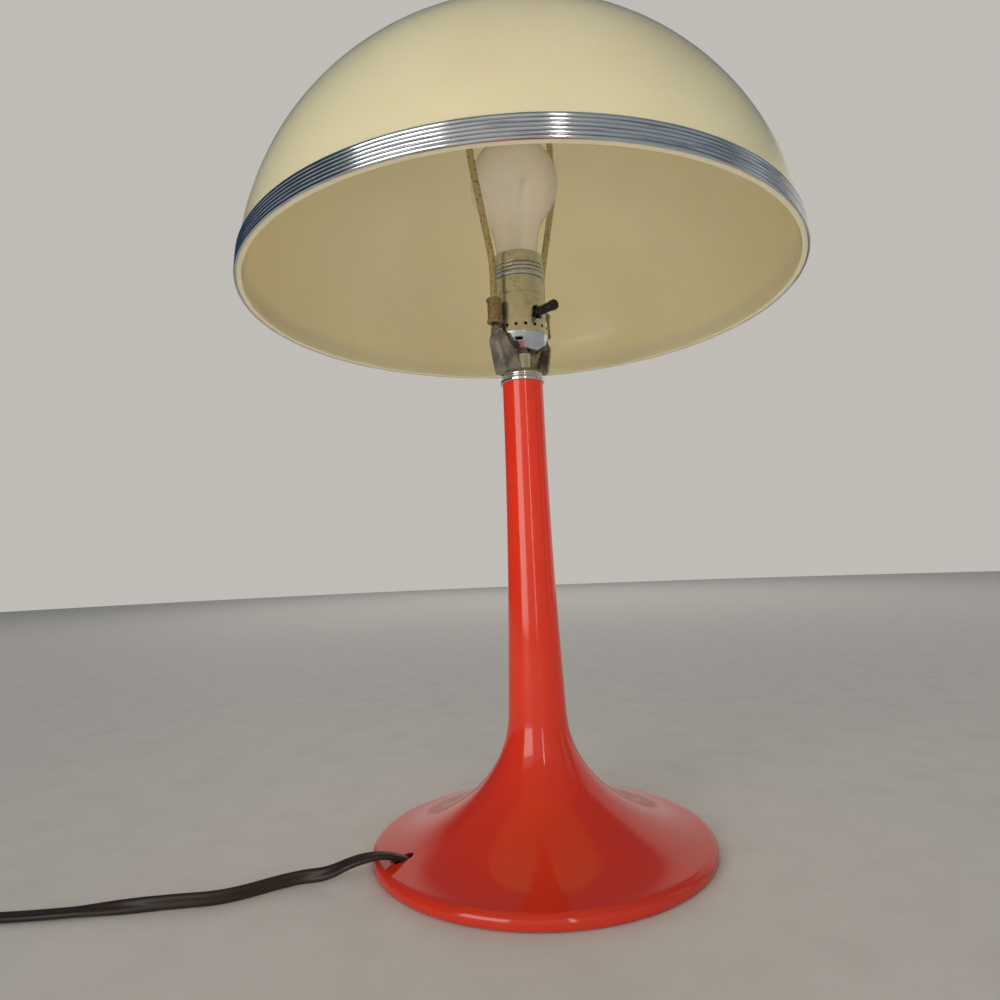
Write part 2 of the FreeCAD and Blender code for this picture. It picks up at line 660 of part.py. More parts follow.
def harp_pieces():
    """Saddle, wire, the two sleeves, and the stud that carries the shade."""
    eye_low = "harp_crown - pad_thick / 2"
    return [
        harp_saddle(),
        harp(),
        sleeve("ferrule_left", "-1"),
        sleeve("ferrule_right", "1"),
        turned_body("harp_stud", [
            ("0", eye_low + " - stud_head_thick"),
            ("stud_head - 1", eye_low + " - stud_head_thick"),
            ("stud_head", eye_low),
            ("stud_radius", eye_low),
            ("stud_radius", "seat_top - seat_thick"),
            ("seat_radius", "seat_top - seat_thick"),
            ("seat_radius", "seat_top"),
            ("stud_radius", "seat_top"),
            ("stud_radius", "stud_top - 0.6"),
            ("stud_radius - 0.6", "stud_top"),
            ("0", "stud_top"),
        ]),
    ]


# ---------------------------------------------------------------- bulb holder
def socket_cap():
    """Plated cap: a neck on the pipe, a bowl with a slot, and a rim with a ring of small holes."""
    bore = "pipe_radius + pipe_fit"
    body = turned_body("socket_cap", [
        (bore, "hub_low"),
        ("neck_radius", "hub_low"),
        ("neck_radius", "neck_top - 1"),
        ("neck_radius + 0.9", "neck_top - 0.6"),
        ("neck_radius + 0.9", "neck_top"),
        ("cap_radius - 1", "bowl_top - 0.8", "bowl_curve"),
        ("cap_radius", "bowl_top"),
        ("cap_radius", "cap_top"),
        ("cap_radius - cap_sheet", "cap_top"),
        ("cap_radius - cap_sheet", "bowl_top + 0.6"),
        ("cap_radius - 1 - cap_sheet", "bowl_top - 0.4"),
        (bore, "neck_top + cap_sheet", "-bowl_curve"),
    ], turn="cap_azimuth")
    hole = circle(new_sketch(body, "hole", "YZ_Plane"), "0", "dimple_z", "dimple_radius")
    around(body, pocketed(body, hole), "dimple_count")
    slot = new_sketch(body, "slot")
    outline(slot, [("-slot_long / 2", "slot_z"), ("slot_long / 2", "slot_z"),
                   ("slot_long / 2", "slot_z + slot_high"), ("-slot_long / 2", "slot_z + slot_high")])
    body.Tip = pocketed(body, slot)
    return body


def notch_outline(body, room):
    """Cut a round-topped notch for the switch, on the +X side only."""
    half = "(notch_width / 2 - %s)" % room
    shoulder = "notch_top - notch_width / 2"
    sketch = new_sketch(body, "notch", "YZ_Plane")
    outline(sketch, [
        ("-" + half, "shell_bottom - 1"), (half, "shell_bottom - 1"), (half, shoulder),
        ("0", shoulder + " + " + half, half), ("-" + half, shoulder, half),
    ])
    return pocketed(body, sketch, reverse=True)


def socket_shell():
    """Plated shell with a rolled line, a coarse thread near its mouth and a notch for the switch."""
    inner = "shell_radius - shell_sheet"
    corners = [
        (inner, "shell_bottom"),
        ("shell_radius", "shell_bottom"),
        ("shell_radius", "bead_z - 1.2"),
        ("shell_radius", "bead_z + 1.2", "bead_bend"),
        ("shell_radius", "thread_low"),
    ]
    for turn in range(1, int(size("thread_count")) + 1):
        corners.append(("shell_radius", "thread_low + coarse_pitch * %d" % turn, "coarse_bend"))
    corners += [
        ("shell_radius", "shell_top - 0.4"),
        ("shell_radius - 0.3", "shell_top"),
        (inner, "shell_top"),
    ]
    body = turned_body("socket_shell", corners, turn="knob_azimuth")
    notch_outline(body, "0")
    return body


def shell_liner():
    """Card tube that keeps the live screw shell off the outer shell."""
    outer = "shell_radius - shell_sheet - liner_gap"
    body = turned_body("shell_liner", [(outer + " - liner_wall", "shell_bottom"), (outer, "shell_bottom"),
                                       (outer, "liner_top"), (outer + " - liner_wall", "liner_top")],
                       turn="knob_azimuth")
    notch_outline(body, "0.4")
    return body


def socket_block():
    """Moulded block that holds the switch: a narrow foot, a round body, a chamber and two screw flats."""
    body = turned_body("socket_block", [
        ("0", "block_low"), ("block_foot", "block_low"), ("block_radius", "block_low + 8"),
        ("block_radius", "block_top"), ("0", "block_top"),
    ], turn="knob_azimuth")
    chamber = circle(new_sketch(body, "chamber", "YZ_Plane"), "0", "knob_z", "switch_radius")
    pocketed(body, chamber, "rotor_long + 1", both_ways=True)
    bore = circle(new_sketch(body, "bore", "YZ_Plane"), "0", "knob_z", "shaft_radius + shaft_fit")
    pocketed(body, bore, reverse=True)
    for side, sign in (("front", "-1"), ("back", "1")):
        flat = new_sketch(body, side + "_flat", "XZ_Plane", sign + " * term_seat")
        outline(flat, [("-term_radius - 1.2", "term_z - term_radius - 1"),
                       ("term_radius + 1.2", "term_z - term_radius - 1"),
                       ("term_radius + 1.2", "term_z + term_radius + 1"),
                       ("-term_radius - 1.2", "term_z + term_radius + 1")])
        pocketed(body, flat, reverse=sign == "1")
        hole = circle(new_sketch(body, side + "_hole", "XZ_Plane", sign + " * term_seat"), "0", "term_z",
                      "term_shank + 0.05")
        pocketed(body, hole, "5", reverse=sign == "-1")
    return body


def terminal_screws():
    """Two binding screws, one on each flat of the block."""
    screws = []
    for side, sign in (("front", -1), ("back", 1)):
        parts = []
        for piece, radius, length, start in (("head", "term_radius", "term_head", "term_seat"),
                                             ("shank", "term_shank", "4.5", "term_seat - 4.5")):
            rod = doc.addObject("Part::Cylinder", "term_%s_%s" % (side, piece))
            rod.setExpression("Radius", alias_text(radius))
            rod.setExpression("Height", alias_text(length))
            rod.Placement = FreeCAD.Placement(Vector(), FreeCAD.Rotation(Vector(1, 0, 0), -90 * sign))
            rod.setExpression("Placement.Base.y", alias_text("%d * (%s)" % (sign, start)))
            rod.setExpression("Placement.Base.z", alias_text("term_z"))
            parts.append(rod)
        screw = doc.addObject("Part::MultiFuse", "term_" + side)
        screw.Shapes = parts
        screws.append(screw)
    group = doc.addObject("Part::Compound", "terminal_screws")
    group.Links = screws
    group.Placement = FreeCAD.Placement(Vector(), FreeCAD.Rotation(Vector(0, 0, 1), size("knob_azimuth")))
    group.setExpression("Placement.Rotation.Angle", alias_text("knob_azimuth"))
    group.Label = "terminal_screws"
    return group


def thread_wave(radius, turns):
    """Corners of a round thread from its lower end up: one ridge and one groove to a pitch."""
    corners = []
    for step in range(1, 2 * turns + 1):
        bend = "thread_bend" if step % 2 else "-thread_bend"
        corners.append((radius, "thread_zero + thread_pitch * %d / 2" % step, bend))
    return corners


def screw_shell():
    """Brass shell with a round thread and a floor with a hole for the tip contact."""
    inner = "thread_middle + thread_room"
    outer = inner + " + screw_sheet"
    turns = int(size("thread_turns"))
    wave = [(inner, "thread_zero")] + thread_wave(inner, turns)
    back = [(outer, "thread_zero")] + thread_wave(outer, turns)
    return turned_body("screw_shell", [
        ("screw_floor", "screw_low"), (outer, "screw_low"), *back,
        *run_back(wave),
        (inner, "screw_low + screw_sheet"), ("screw_floor", "screw_low + screw_sheet"),
    ])


def axle_body(label, corners):
    """A body turned about the switch's own axis; corners are (distance from the lamp's axis, radius)."""
    body = new_body(label, "knob_azimuth")
    body.setExpression("Placement.Base.z", alias_text("knob_z"))
    sketch = outline(new_sketch(body, "outline"), corners)
    feature = body.newObject("PartDesign::Revolution", label + "_turn")
    feature.Profile = sketch
    feature.ReferenceAxis = (sketch, ["H_Axis"])
    feature.Angle = 360
    return body


def switch_rotor():
    """Rotor of the switch: a disc with four flats on the shaft."""
    body = new_body("switch_rotor", "knob_azimuth")
    body.setExpression("Placement.Base.z", alias_text("knob_z"))
    sketch = new_sketch(body, "outline", "YZ_Plane")
    flat = "rotor_radius * 0.82"
    cut = "rotor_radius * 0.57"
    ring = [(flat, "-" + cut), (flat, cut), (cut, flat, "rotor_radius"), ("-" + cut, flat),
            ("-" + flat, cut, "rotor_radius"), ("-" + flat, "-" + cut), ("-" + cut, "-" + flat, "rotor_radius"),
            (cut, "-" + flat)]
    outline(sketch, ring)
    circle(sketch, "0", "0", "shaft_radius + 0.02")
    padded(body, sketch, "rotor_long", both_ways=True)
    return body


def turn_knob():
    """Moulded knob with a swelling tip and shallow grooves along it."""
    body = axle_body("turn_knob", [
        ("knob_start", "shaft_radius + 0.02"), ("knob_start", "knob_radius - 0.3"),
        ("knob_start + 0.5", "knob_radius"), ("knob_end - 5", "knob_radius"), ("knob_end - 3.4", "knob_tip"),
        ("knob_end - 0.8", "knob_tip"), ("knob_end", "knob_tip - 0.8", "-0.9"), ("knob_end", "0"),
        ("knob_bore_end", "0"), ("knob_bore_end", "shaft_radius + 0.02"),
    ])
    groove = circle(new_sketch(body, "groove", "YZ_Plane", "knob_start + 1.5"), "0", "knob_radius + 0.5", "0.8")
    cut = pocketed(body, groove, "knob_end", reverse=True)
    pattern = around(body, cut, "knob_flutes")
    pattern.Axis = ([part for part in body.Origin.OriginFeatures if part.Role == "X_Axis"][0], [""])
    return body


def centre_contact():
    """Sprung brass tab from the block's top up to the bulb's tip."""
    body = new_body("centre_contact", "knob_azimuth")
    top = "bulb_seat - seat_gap"
    sketch = outline(new_sketch(body, "side"), [
        ("-6", "block_top"), ("-1.6", "block_top"), ("-0.6", "block_top + 1"), ("1.6", top + " - tab_thick"),
        ("3.6", top + " - tab_thick"), ("3.6", top), ("1.2", top), ("-1.2", "block_top + 1.3"),
        ("-1.9", "block_top + tab_thick"), ("-6", "block_top + tab_thick"),
    ])
    padded(body, sketch, "tab_half * 2", both_ways=True)
    return body


def holder_pieces():
    """The bulb holder from its cap to its screw shell, and its turn switch."""
    return [
        socket_cap(), socket_shell(), shell_liner(), socket_block(), terminal_screws(), screw_shell(),
        centre_contact(), switch_rotor(), turn_knob(),
        axle_body("switch_shaft", [
            ("-rotor_long / 2", "0"), ("knob_bore_end - 0.2", "0"), ("knob_bore_end - 0.2", "shaft_radius"),
            ("-rotor_long / 2", "shaft_radius"),
        ]),
    ]


# ---------------------------------------------------------------- bulb
def bulb_globe():
    """Blown glass: a neck, a flare and a round globe, of even wall."""
    touch_r = "globe_radius * cos(flare_angle)"
    touch_z = "globe_centre - globe_radius * sin(flare_angle)"
    inner = "(globe_radius - globe_wall)"
    return turned_body("bulb_globe", [
        ("globe_neck - globe_wall", "base_top"),
        ("globe_neck", "base_top"),
        ("flare_radius", "flare_z"),
        (touch_r, touch_z, "-flare_sweep"),
        ("globe_radius", "globe_centre", "globe_radius"),
        ("0", "globe_centre + globe_radius", "globe_radius"),
        ("0", "globe_centre + " + inner),
        (inner, "globe_centre", "-" + inner),
        (inner + " * cos(flare_angle)", "globe_centre - %s * sin(flare_angle)" % inner, "-" + inner),
        ("flare_radius - globe_wall", "flare_z", "flare_sweep + globe_wall"),
    ])


def bulb_cap():
    """Thin screw base of the bulb: a cone off the black glass, a round thread and a plain collar."""
    inner = "thread_middle - base_sheet"
    turns = int(size("thread_turns"))
    wave = [("thread_middle", "thread_zero")] + thread_wave("thread_middle", turns)
    back = [(inner, "thread_zero")] + thread_wave(inner, turns)
    foot = "bulb_seat + tip_thick + dish_thick"
    return turned_body("bulb_cap", [
        ("dish_radius + 0.6", foot), ("thread_middle", "thread_zero - 0.5"), *wave,
        ("globe_neck", "base_top - 3.4"), ("globe_neck", "base_top"), ("globe_neck - base_sheet", "base_top"),
        ("globe_neck - base_sheet", "base_top - 3"), *run_back(back),
        (inner, "thread_zero - 0.1"), ("dish_radius + 0.2", foot + " + 0.3"), ("dish_radius + 0.2", foot),
    ])


def bulb_pieces():
    """The screw-in bulb."""
    tip = "bulb_seat + tip_thick"
    body = new_body("filament", "knob_azimuth")
    path = outline(new_sketch(body, "path"), [
        ("-lead_gap", "mount_top + 0.1"), ("-filament_reach", "filament_z"),
        ("filament_reach", "filament_z"), ("lead_gap", "mount_top + 0.1")], closed=False)
    wire = circle(new_sketch(body, "wire", "XY_Plane", "mount_top + 0.1"), "-lead_gap", "0", "filament_wire")
    pipe = body.newObject("PartDesign::AdditivePipe", "filament_pipe")
    pipe.Profile = wire
    pipe.Spine = (path, [])
    pipe.Transition = "Round corner"
    return [
        bulb_globe(), bulb_cap(), body,
        turned_body("bulb_insulator", [
            ("0", tip), ("tip_radius", tip), ("dish_radius", tip + " + dish_thick"), ("0", tip + " + dish_thick")]),
        turned_body("bulb_contact", [
            ("0", "bulb_seat"), ("tip_radius - 1", "bulb_seat"), ("tip_radius", tip, "tip_thick * 1.4"), ("0", tip)]),
        turned_body("bulb_stem", [
            ("0", "base_top + 1"), ("globe_neck - globe_wall - 0.2", "base_top + 1"),
            ("globe_neck - globe_wall - 0.2", "base_top + 2"), ("mount_radius", "base_top + 12", "-9"),
            ("mount_radius", "mount_top - 4"), ("mount_radius - 1", "mount_top"), ("0", "mount_top")]),
    ]


# ---------------------------------------------------------------- cord
def smooth_arc(start, corner, end):
    """Arc from start to end that is tangent to both legs of the corner, which are equally long."""
    chord = end - start
    middle = (start + end) / 2
    rise = corner - middle
    if rise.Length < 1e-7 * chord.Length:
        return Part.LineSegment(start, end)
    turn = 2 * math.atan2(rise.Length, chord.Length / 2)
    sagitta = chord.Length / 2 * math.tan(turn / 4)
    return Part.Arc(start, middle + rise.normalize() * sagitta, end)


def rounded_route(points):
    """Straight runs through the points, with an arc as large as its two runs allow at each."""
    edges = []
    radii = []
    last = points[0]
    for before, here, after in zip(points, points[1:], points[2:]):
        reach = 0.45 * min((here - before).Length, (after - here).Length)
        start = here + (before - here).normalize() * reach
        end = here + (after - here).normalize() * reach
        turn = (here - before).getAngle(after - here)
        radii.append(reach / math.tan(turn / 2))
        edges.append(Part.LineSegment(last, start))
        edges.append(smooth_arc(start, here, end))
        last = end
    edges.append(Part.LineSegment(last, points[-1]))
    print("route radii", [round(radius, 1) for radius in radii])
    return edges


def bent_pair(start, heading, end, arrival):
    """Two tangent arcs from a place and heading to another place and heading."""
    span = end - start
    both = heading + arrival
    twist = 2 * (1 - heading.dot(arrival))
    along = span.dot(both)
    if twist < 1e-9:
        reach = span.dot(span) / (2 * along)
    else:
        reach = (math.sqrt(along * along + twist * span.dot(span)) - along) / twist
    first = start + heading * reach
    second = end - arrival * reach
    joint = (first + second) / 2
    return [smooth_arc(start, first, joint), smooth_arc(joint, second, end)]


def tube(label, edges, radius):
    """Round tube along tangent edges, with its volume held against section times length."""
    shapes = [edge.toShape() for edge in edges]
    path = Part.Wire(shapes)
    heading = edges[0].value(edges[0].FirstParameter + 1e-3) - edges[0].value(edges[0].FirstParameter)
    section = Part.Wire(Part.Circle(edges[0].value(edges[0].FirstParameter), heading, radius).toShape())
    solid = path.makePipeShell([section], True, False)
    share = solid.Volume / (math.pi * radius * radius * path.Length)
    print(label, "length %.1f mm, volume share %.4f" % (path.Length, share))
    piece = doc.addObject("Part::Feature", label)
    piece.Shape = solid
    piece.Label = label
    return piece


def cord_frame():
    """Direction of the cord's hole from the axis, and the direction in which the cord leaves."""
    turn = math.radians(size("exit_azimuth"))
    pitch = math.radians(size("exit_pitch"))
    out = Vector(math.cos(turn), math.sin(turn), 0)
    return out, out * math.cos(pitch) + Vector(0, 0, math.sin(pitch))


def inner_cord():
    """The lead inside: down the pipe, under the weight in its slot, and up to its hole."""
    out, leaving = cord_frame()
    pitch = math.radians(size("exit_pitch"))
    up = Vector(0, 0, 1)
    radius = size("core_pair") / 2
    floor_z = size("felt_thickness") + radius + size("seat_gap")
    drop = size("pipe_bottom") - floor_z
    lift = size("core_pair") * 5
    end = out * size("exit_radius") + up * size("exit_z")
    straight = (size("exit_z") - floor_z - lift * (1 - math.cos(pitch))) / math.sin(pitch)
    top = up * (size("block_low") - size("seat_gap"))
    turn_in = up * size("pipe_bottom")
    under = out * drop + up * floor_z
    leave_at = end - leaving * straight
    rise_at = leave_at - out * lift * math.sin(pitch)
    rise_at.z = floor_z
    edges = [Part.LineSegment(top, turn_in), smooth_arc(turn_in, up * floor_z, under),
             Part.LineSegment(under, rise_at)]
    corner = rise_at + out * lift * math.tan(pitch / 2)
    edges.append(smooth_arc(rise_at, corner, leave_at))
    edges.append(Part.LineSegment(leave_at, end))
    return tube("inner_cord", edges, radius)


# Places along the free cord after it leaves its hole: x, y and height of its middle.
CORD_ROUTE = [
    (-94.9, -46.4, 15.9), (-103.0, -48.7, 16.1), (-112.3, -48.5, 12.6), (-122.9, -46.2, 7.6),
    (-135.2, -45.2, 4.4), (-148.6, -50.8, 3.8), (-162.8, -60.4, 3.8), (-177.4, -67.4, 3.8),
    (-198.0, -71.2, 3.8), (-223.0, -75.2, 3.8), (-251.0, -79.2, 3.8), (-280.0, -82.0, 3.8),
]
# The coil: middle, and radii of its outer and inner turns.
COIL_X = -335.0
COIL_Y = -133.5
COIL_OUTER = 50.0
COIL_INNER = 26.3
COIL_PITCH = 7.95
COIL_DIP = 1.5
COIL_TURNS = 3
COIL_TAIL = 36.0


def cord_free():
    """The lead from its hole, over the lip and along the table to the coil."""
    out, leaving = cord_frame()
    start = out * size("exit_radius") + Vector(0, 0, size("exit_z"))
    height = CORD_ROUTE[-1][2]
    width = size("cord_width")
    last = Vector(COIL_X + width, COIL_Y + COIL_OUTER, height)
    points = [start, start + leaving * width * 1.1]
    points += [Vector(*place) for place in CORD_ROUTE]
    points += [last + Vector(width * 3, 0, 0), last]
    return tube("cord_free", rounded_route(points), width / 2)


def coil_place(quarter):
    """Place and heading on the coil after a number of quarter turns from its start."""
    first_layer = 4 * COIL_TURNS
    climb = 2
    shrink = COIL_PITCH / 4
    low = CORD_ROUTE[-1][2]
    if quarter <= first_layer:
        radius, slope, height, rising = COIL_OUTER - shrink * quarter, -shrink, low, 0.0
    elif quarter < first_layer + climb:
        radius, slope, height, rising = COIL_INNER - COIL_DIP, 0.0, low + COIL_PITCH / 2, COIL_PITCH / climb
    else:
        radius, slope = COIL_INNER + shrink * (quarter - first_layer - climb), shrink
        height, rising = low + COIL_PITCH, 0.0
    if quarter in (0, 2 * first_layer + climb - 1):
        slope = 0.0
    angle = math.pi / 2 * (1 + quarter)
    spoke = Vector(math.cos(angle), math.sin(angle), 0)
    ahead = Vector(-math.sin(angle), math.cos(angle), 0)
    place = Vector(COIL_X, COIL_Y, height) + spoke * radius
    heading = ahead * radius * math.pi / 2 + spoke * slope + Vector(0, 0, rising)
    return place, heading.normalize()


def closest_turns(edges, diameter):
    """Least gap between turns, measured on points along the coil that are more than a quarter turn apart."""
    step = 3.0
    points = []
    walked = 0.0
    for edge in edges:
        shape = edge.toShape()
        count = max(2, int(shape.Length / step))
        for index in range(count):
            where = edge.FirstParameter + (edge.LastParameter - edge.FirstParameter) * index / count
            points.append((walked + shape.Length * index / count, edge.value(where)))
        walked += shape.Length
    least = min((there - here).Length for index, (far, here) in enumerate(points)
                for away, there in points[index + 1:] if away - far > COIL_INNER * 1.6)
    return least - diameter


def cord_coil():
    """The rest of the lead in two layers of turns: in on the table, and out again on top."""
    width = size("cord_width")
    quarters = 8 * COIL_TURNS + 1
    places = [coil_place(quarter) for quarter in range(quarters + 1)]
    start, heading = places[0]
    edges = [Part.LineSegment(start - heading * width, start)]
    for (here, towards), (there, arrival) in zip(places, places[1:]):
        edges += bent_pair(here, towards, there, arrival)
    end, heading = places[-1]
    edges.append(Part.LineSegment(end, end + heading * COIL_TAIL))
    print("cord_coil least gap %.2f mm" % closest_turns(edges, width))
    return tube("cord_coil", edges, width / 2)


def plug_pieces():
    """Moulded flat-blade plug on the end of the coil's tail, lying on its edge."""
    end, heading = coil_place(8 * COIL_TURNS + 1)
    middle = end + heading * COIL_TAIL
    body = new_body("plug_body")
    body.Placement = FreeCAD.Placement(middle, FreeCAD.Rotation(Vector(0, 0, 1), heading))
    blades = []
    sections = []
    for name, level, tall, wide, round_off in (("back", "0", "plug_back", "plug_back", "2.5"),
                                               ("front", "plug_long", "plug_tall", "plug_wide", "3")):
        sketch = new_sketch(body, name, "XY_Plane", level)
        across = "(%s / 2)" % wide
        up = "(%s / 2)" % tall
        outline(sketch, rounded_box(across, up, round_off))
        sections.append(sketch)
    loft = body.newObject("PartDesign::AdditiveLoft", "plug_loft")
    loft.Profile = sections[0]
    loft.Sections = [sections[1]]
    loft.Ruled = True
    for sign in (-1, 1):
        blade = doc.addObject("Part::Box", "blade_%s" % ("low" if sign < 0 else "high"))
        blade.setExpression("Length", alias_text("blade_wide"))
        blade.setExpression("Width", alias_text("blade_thick"))
        blade.setExpression("Height", alias_text("blade_long"))
        blade.setExpression("Placement.Base.x", alias_text("-blade_wide / 2"))
        blade.setExpression("Placement.Base.y", alias_text("%d * blade_gap / 2 - blade_thick / 2" % sign))
        blade.setExpression("Placement.Base.z", alias_text("plug_long"))
        blades.append(blade)
    pair = doc.addObject("Part::Compound", "plug_blades")
    pair.Links = blades
    pair.Placement = body.Placement
    pair.Label = "plug_blades"
    return [body, pair]


def rounded_box(across, up, bend):
    """Corners of a rounded box, anticlockwise from the lower right."""
    return [
        ("%s - %s" % (across, bend), "-" + up), (across, "%s - %s" % (bend, up), bend),
        (across, "%s - %s" % (up, bend)), ("%s - %s" % (across, bend), up, bend),
        ("%s - %s" % (bend, across), up), ("-" + across, "%s - %s" % (up, bend), bend),
        ("-" + across, "%s - %s" % (bend, up)), ("%s - %s" % (bend, across), "-" + up, bend),
    ]


# ---------------------------------------------------------------- build, test and write
def write_parts(pieces):
    """Recompute, test every object and sub-part, and write one file for each piece."""
    doc.recompute()
    for thing in doc.Objects:
        if "Invalid" in thing.State or "Error" in thing.State:
            raise RuntimeError("%s is not made: %s" % (thing.Label, thing.State))
    for piece in pieces:
        if piece.Shape.isNull() or not piece.Shape.isValid() or not piece.Shape.Solids:
            raise RuntimeError("%s has no sound shape" % piece.Label)
    os.makedirs("parts", exist_ok=True)
    for piece in pieces:
        piece.Shape.exportStep(os.path.join("parts", piece.Label + ".step"))
        box = piece.Shape.optimalBoundingBox(False)
        print("%-18s solids %d volume %9.1f  x %7.1f %7.1f y %7.1f %7.1f z %7.1f %7.1f" % (
            piece.Label, len(piece.Shape.Solids), piece.Shape.Volume,
            box.XMin, box.XMax, box.YMin, box.YMax, box.ZMin, box.ZMax))


write_parts(foot_pieces() + shade_pieces() + harp_pieces() + holder_pieces() + bulb_pieces()
            + [inner_cord(), cord_free(), cord_coil()] + plug_pieces())
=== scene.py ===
"""Mushroom table lamp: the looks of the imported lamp, piece by piece, and the studio it stands in.

Sizes are in millimetres in the fields and formulas, and meshes are stored in metres. The lamp's axis is Z, the
table is the plane at height zero, and the camera looks along +Y. A profile is a line of (radius, height) places,
and a third number at a profile's corner is its rounding.
"""
import logging
import math
from collections.abc import Sequence
from dataclasses import dataclass
from enum import Enum

import bmesh
import bpy
import numpy as np
from mathutils import Matrix, Vector


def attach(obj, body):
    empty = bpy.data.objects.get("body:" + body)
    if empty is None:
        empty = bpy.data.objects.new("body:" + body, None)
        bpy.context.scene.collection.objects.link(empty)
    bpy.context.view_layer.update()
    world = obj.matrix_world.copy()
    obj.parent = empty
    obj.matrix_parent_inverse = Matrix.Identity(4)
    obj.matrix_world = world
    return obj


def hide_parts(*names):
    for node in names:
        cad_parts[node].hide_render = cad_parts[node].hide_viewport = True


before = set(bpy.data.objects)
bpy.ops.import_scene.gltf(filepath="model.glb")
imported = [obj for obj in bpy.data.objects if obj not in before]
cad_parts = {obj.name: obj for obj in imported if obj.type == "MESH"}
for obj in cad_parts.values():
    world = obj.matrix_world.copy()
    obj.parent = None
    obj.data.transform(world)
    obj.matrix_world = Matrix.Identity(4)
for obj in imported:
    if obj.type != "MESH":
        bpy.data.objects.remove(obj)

MM = 0.001
MERGE = 2e-7  # metres: points nearer than this are one
CREASE = 35.0  # degrees: edges sharper than this stay crisp
LOG = logging.getLogger("lamp")
Array = np.ndarray
Piece = bpy.types.Object
UP = np.array([0.0, 0.0, 1.0])


# --- numbers and lines
def together(*parts: Array | float) -> Array:
    """Values spread to one shape and set side by side along a new last axis, such as x, y and z."""
    return np.stack(np.broadcast_arrays(*parts), axis=-1)


def polar(radius: Array | float, angle: Array) -> tuple[Array, Array]:
    """Both coordinates of places on a circle: r cos(a) and r sin(a)."""
    return radius * np.cos(angle), radius * np.sin(angle)


def all_round(count: int) -> Array:
    """Even angles in radians round one turn."""
    return np.linspace(0, 2 * np.pi, count, endpoint=False)


def arc(start: float, end: float, step: float = 7.5) -> Array:
    """Angles in radians from one number of degrees to another, evenly spread, no more than a step apart."""
    count = max(2, int(math.ceil(abs(end - start) / step)) + 1)
    return np.radians(np.linspace(start, end, count))


def held(value: Array) -> Array:
    """Each value kept between 0 and 1."""
    return np.clip(value, 0, 1)


def bell(value: Array) -> Array:
    """Bell curve e^(-v^2), which is one at zero."""
    return np.exp(-value ** 2)


def eased(share: Array) -> Array:
    """Share from 0 to 1 that starts and ends level: 3 s^2 - 2 s^3."""
    return 3 * share ** 2 - 2 * share ** 3


def spans(line: Array) -> Array:
    """Length of each span of a line."""
    return np.linalg.norm(np.diff(line, axis=0), axis=1)


def distinct(line: Array, least: float) -> Array:
    """The line without points that lie nearer than a least distance to the one before."""
    return line[np.append(True, spans(line) > least)]


def headings(line: Array) -> Array:
    """Unit direction of a line at each point, from the point before to the point after."""
    run = np.gradient(line, axis=0)
    return run / np.linalg.norm(run, axis=1, keepdims=True)


def offset_line(line: Array, distance: float) -> Array:
    """The line moved sideways, to its left where the distance is positive, along its own normals."""
    run = headings(line)
    return line + distance * together(-run[:, 1], run[:, 0])


def turned_about_z(points: Array, degrees: float) -> Array:
    """Places turned about Z by an angle in degrees."""
    c, s = math.cos(math.radians(degrees)), math.sin(math.radians(degrees))
    return points @ np.array([[c, s, 0], [-s, c, 0], [0, 0, 1]])


def circle_section(radius: float, sides: int = 20) -> Array:
    """Even points round a circle."""
    return together(*polar(radius, all_round(sides)))


def finer(line: Array, step: float) -> Array:
    """The same line with points no more than a step apart, each span divided evenly by linear blending.

    Args:
        line: (count, axes) places.
        step: the longest span.

    Returns:
        (more, axes) places.
    """
    counts = np.maximum(1, np.ceil(spans(line) / step)).astype(int)
    where = np.concatenate([np.linspace(i, i + 1, count, endpoint=False) for i, count in enumerate(counts)])
    where = np.append(where, len(line) - 1)
    return together(*(np.interp(where, np.arange(len(line)), axis) for axis in line.T))


def rounded(corners: Sequence[Sequence[float]], steps: int = 6) -> Array:
    """Line through corners of (across, up[, rounding]), each rounded by an arc tangent to both of its sides.

    The arc's points are the corner's circle at even turns between the two tangent points. The line stays open.

    Args:
        corners: places in millimetres, with a rounding radius where wanted.
        steps: spans in each arc.

    Returns:
        (count, 2) places.
    """
    tiny, nearly_straight, most_of_side = 1e-6, 1.565, 0.49
    out = [np.array([corners[0][:2]], float)]
    for before, here, after in zip(corners, corners[1:], corners[2:]):
        centre, bend = np.array(here[:2], float), (here[2] if len(here) > 2 else 0.0)
        back, on = np.array(before[:2], float) - centre, np.array(after[:2], float) - centre
        long_back, long_on = np.linalg.norm(back), np.linalg.norm(on)
        back, on = back / long_back, on / long_on
        half = math.acos(float(np.clip(back @ on, -1, 1))) / 2
        reach = min(bend / max(math.tan(half), tiny), most_of_side * long_back, most_of_side * long_on)
        if reach < tiny or half > nearly_straight:
            out.append(centre[None])
            continue
        radius = reach * math.tan(half)
        middle = centre + (back + on) / np.linalg.norm(back + on) * radius / math.sin(half)
        first, last = centre + back * reach - middle, centre + on * reach - middle
        turn = math.atan2(first[0] * last[1] - first[1] * last[0], float(first @ last))
        angles = math.atan2(first[1], first[0]) + np.linspace(0, turn, steps + 1)
        out.append(middle + together(*polar(radius, angles)))
    out.append(np.array([corners[-1][:2]], float))
    return np.concatenate(out)


# --- surfaces
class Close(Enum):
    """How a grid of points is closed: not at all, round its columns, or round rows and columns."""

    OPEN = "open"
    ROUND = "round"
    RING = "ring"


def add_object(name: str, data: bpy.types.ID) -> Piece:
    """Make an object that holds some data, and link it to the scene.

    Args:
        name: the object's name.
        data: its mesh, curve, light or camera.

    Returns:
        The object.
    """
    piece = bpy.data.objects.new(name, data)
    bpy.context.scene.collection.objects.link(piece)
    return piece


def finished_mesh(piece: Piece) -> bpy.types.Mesh:
    """A new mesh of a piece with its modifiers applied, or of a curve's line."""
    return bpy.data.meshes.new_from_object(piece.evaluated_get(bpy.context.evaluated_depsgraph_get()))


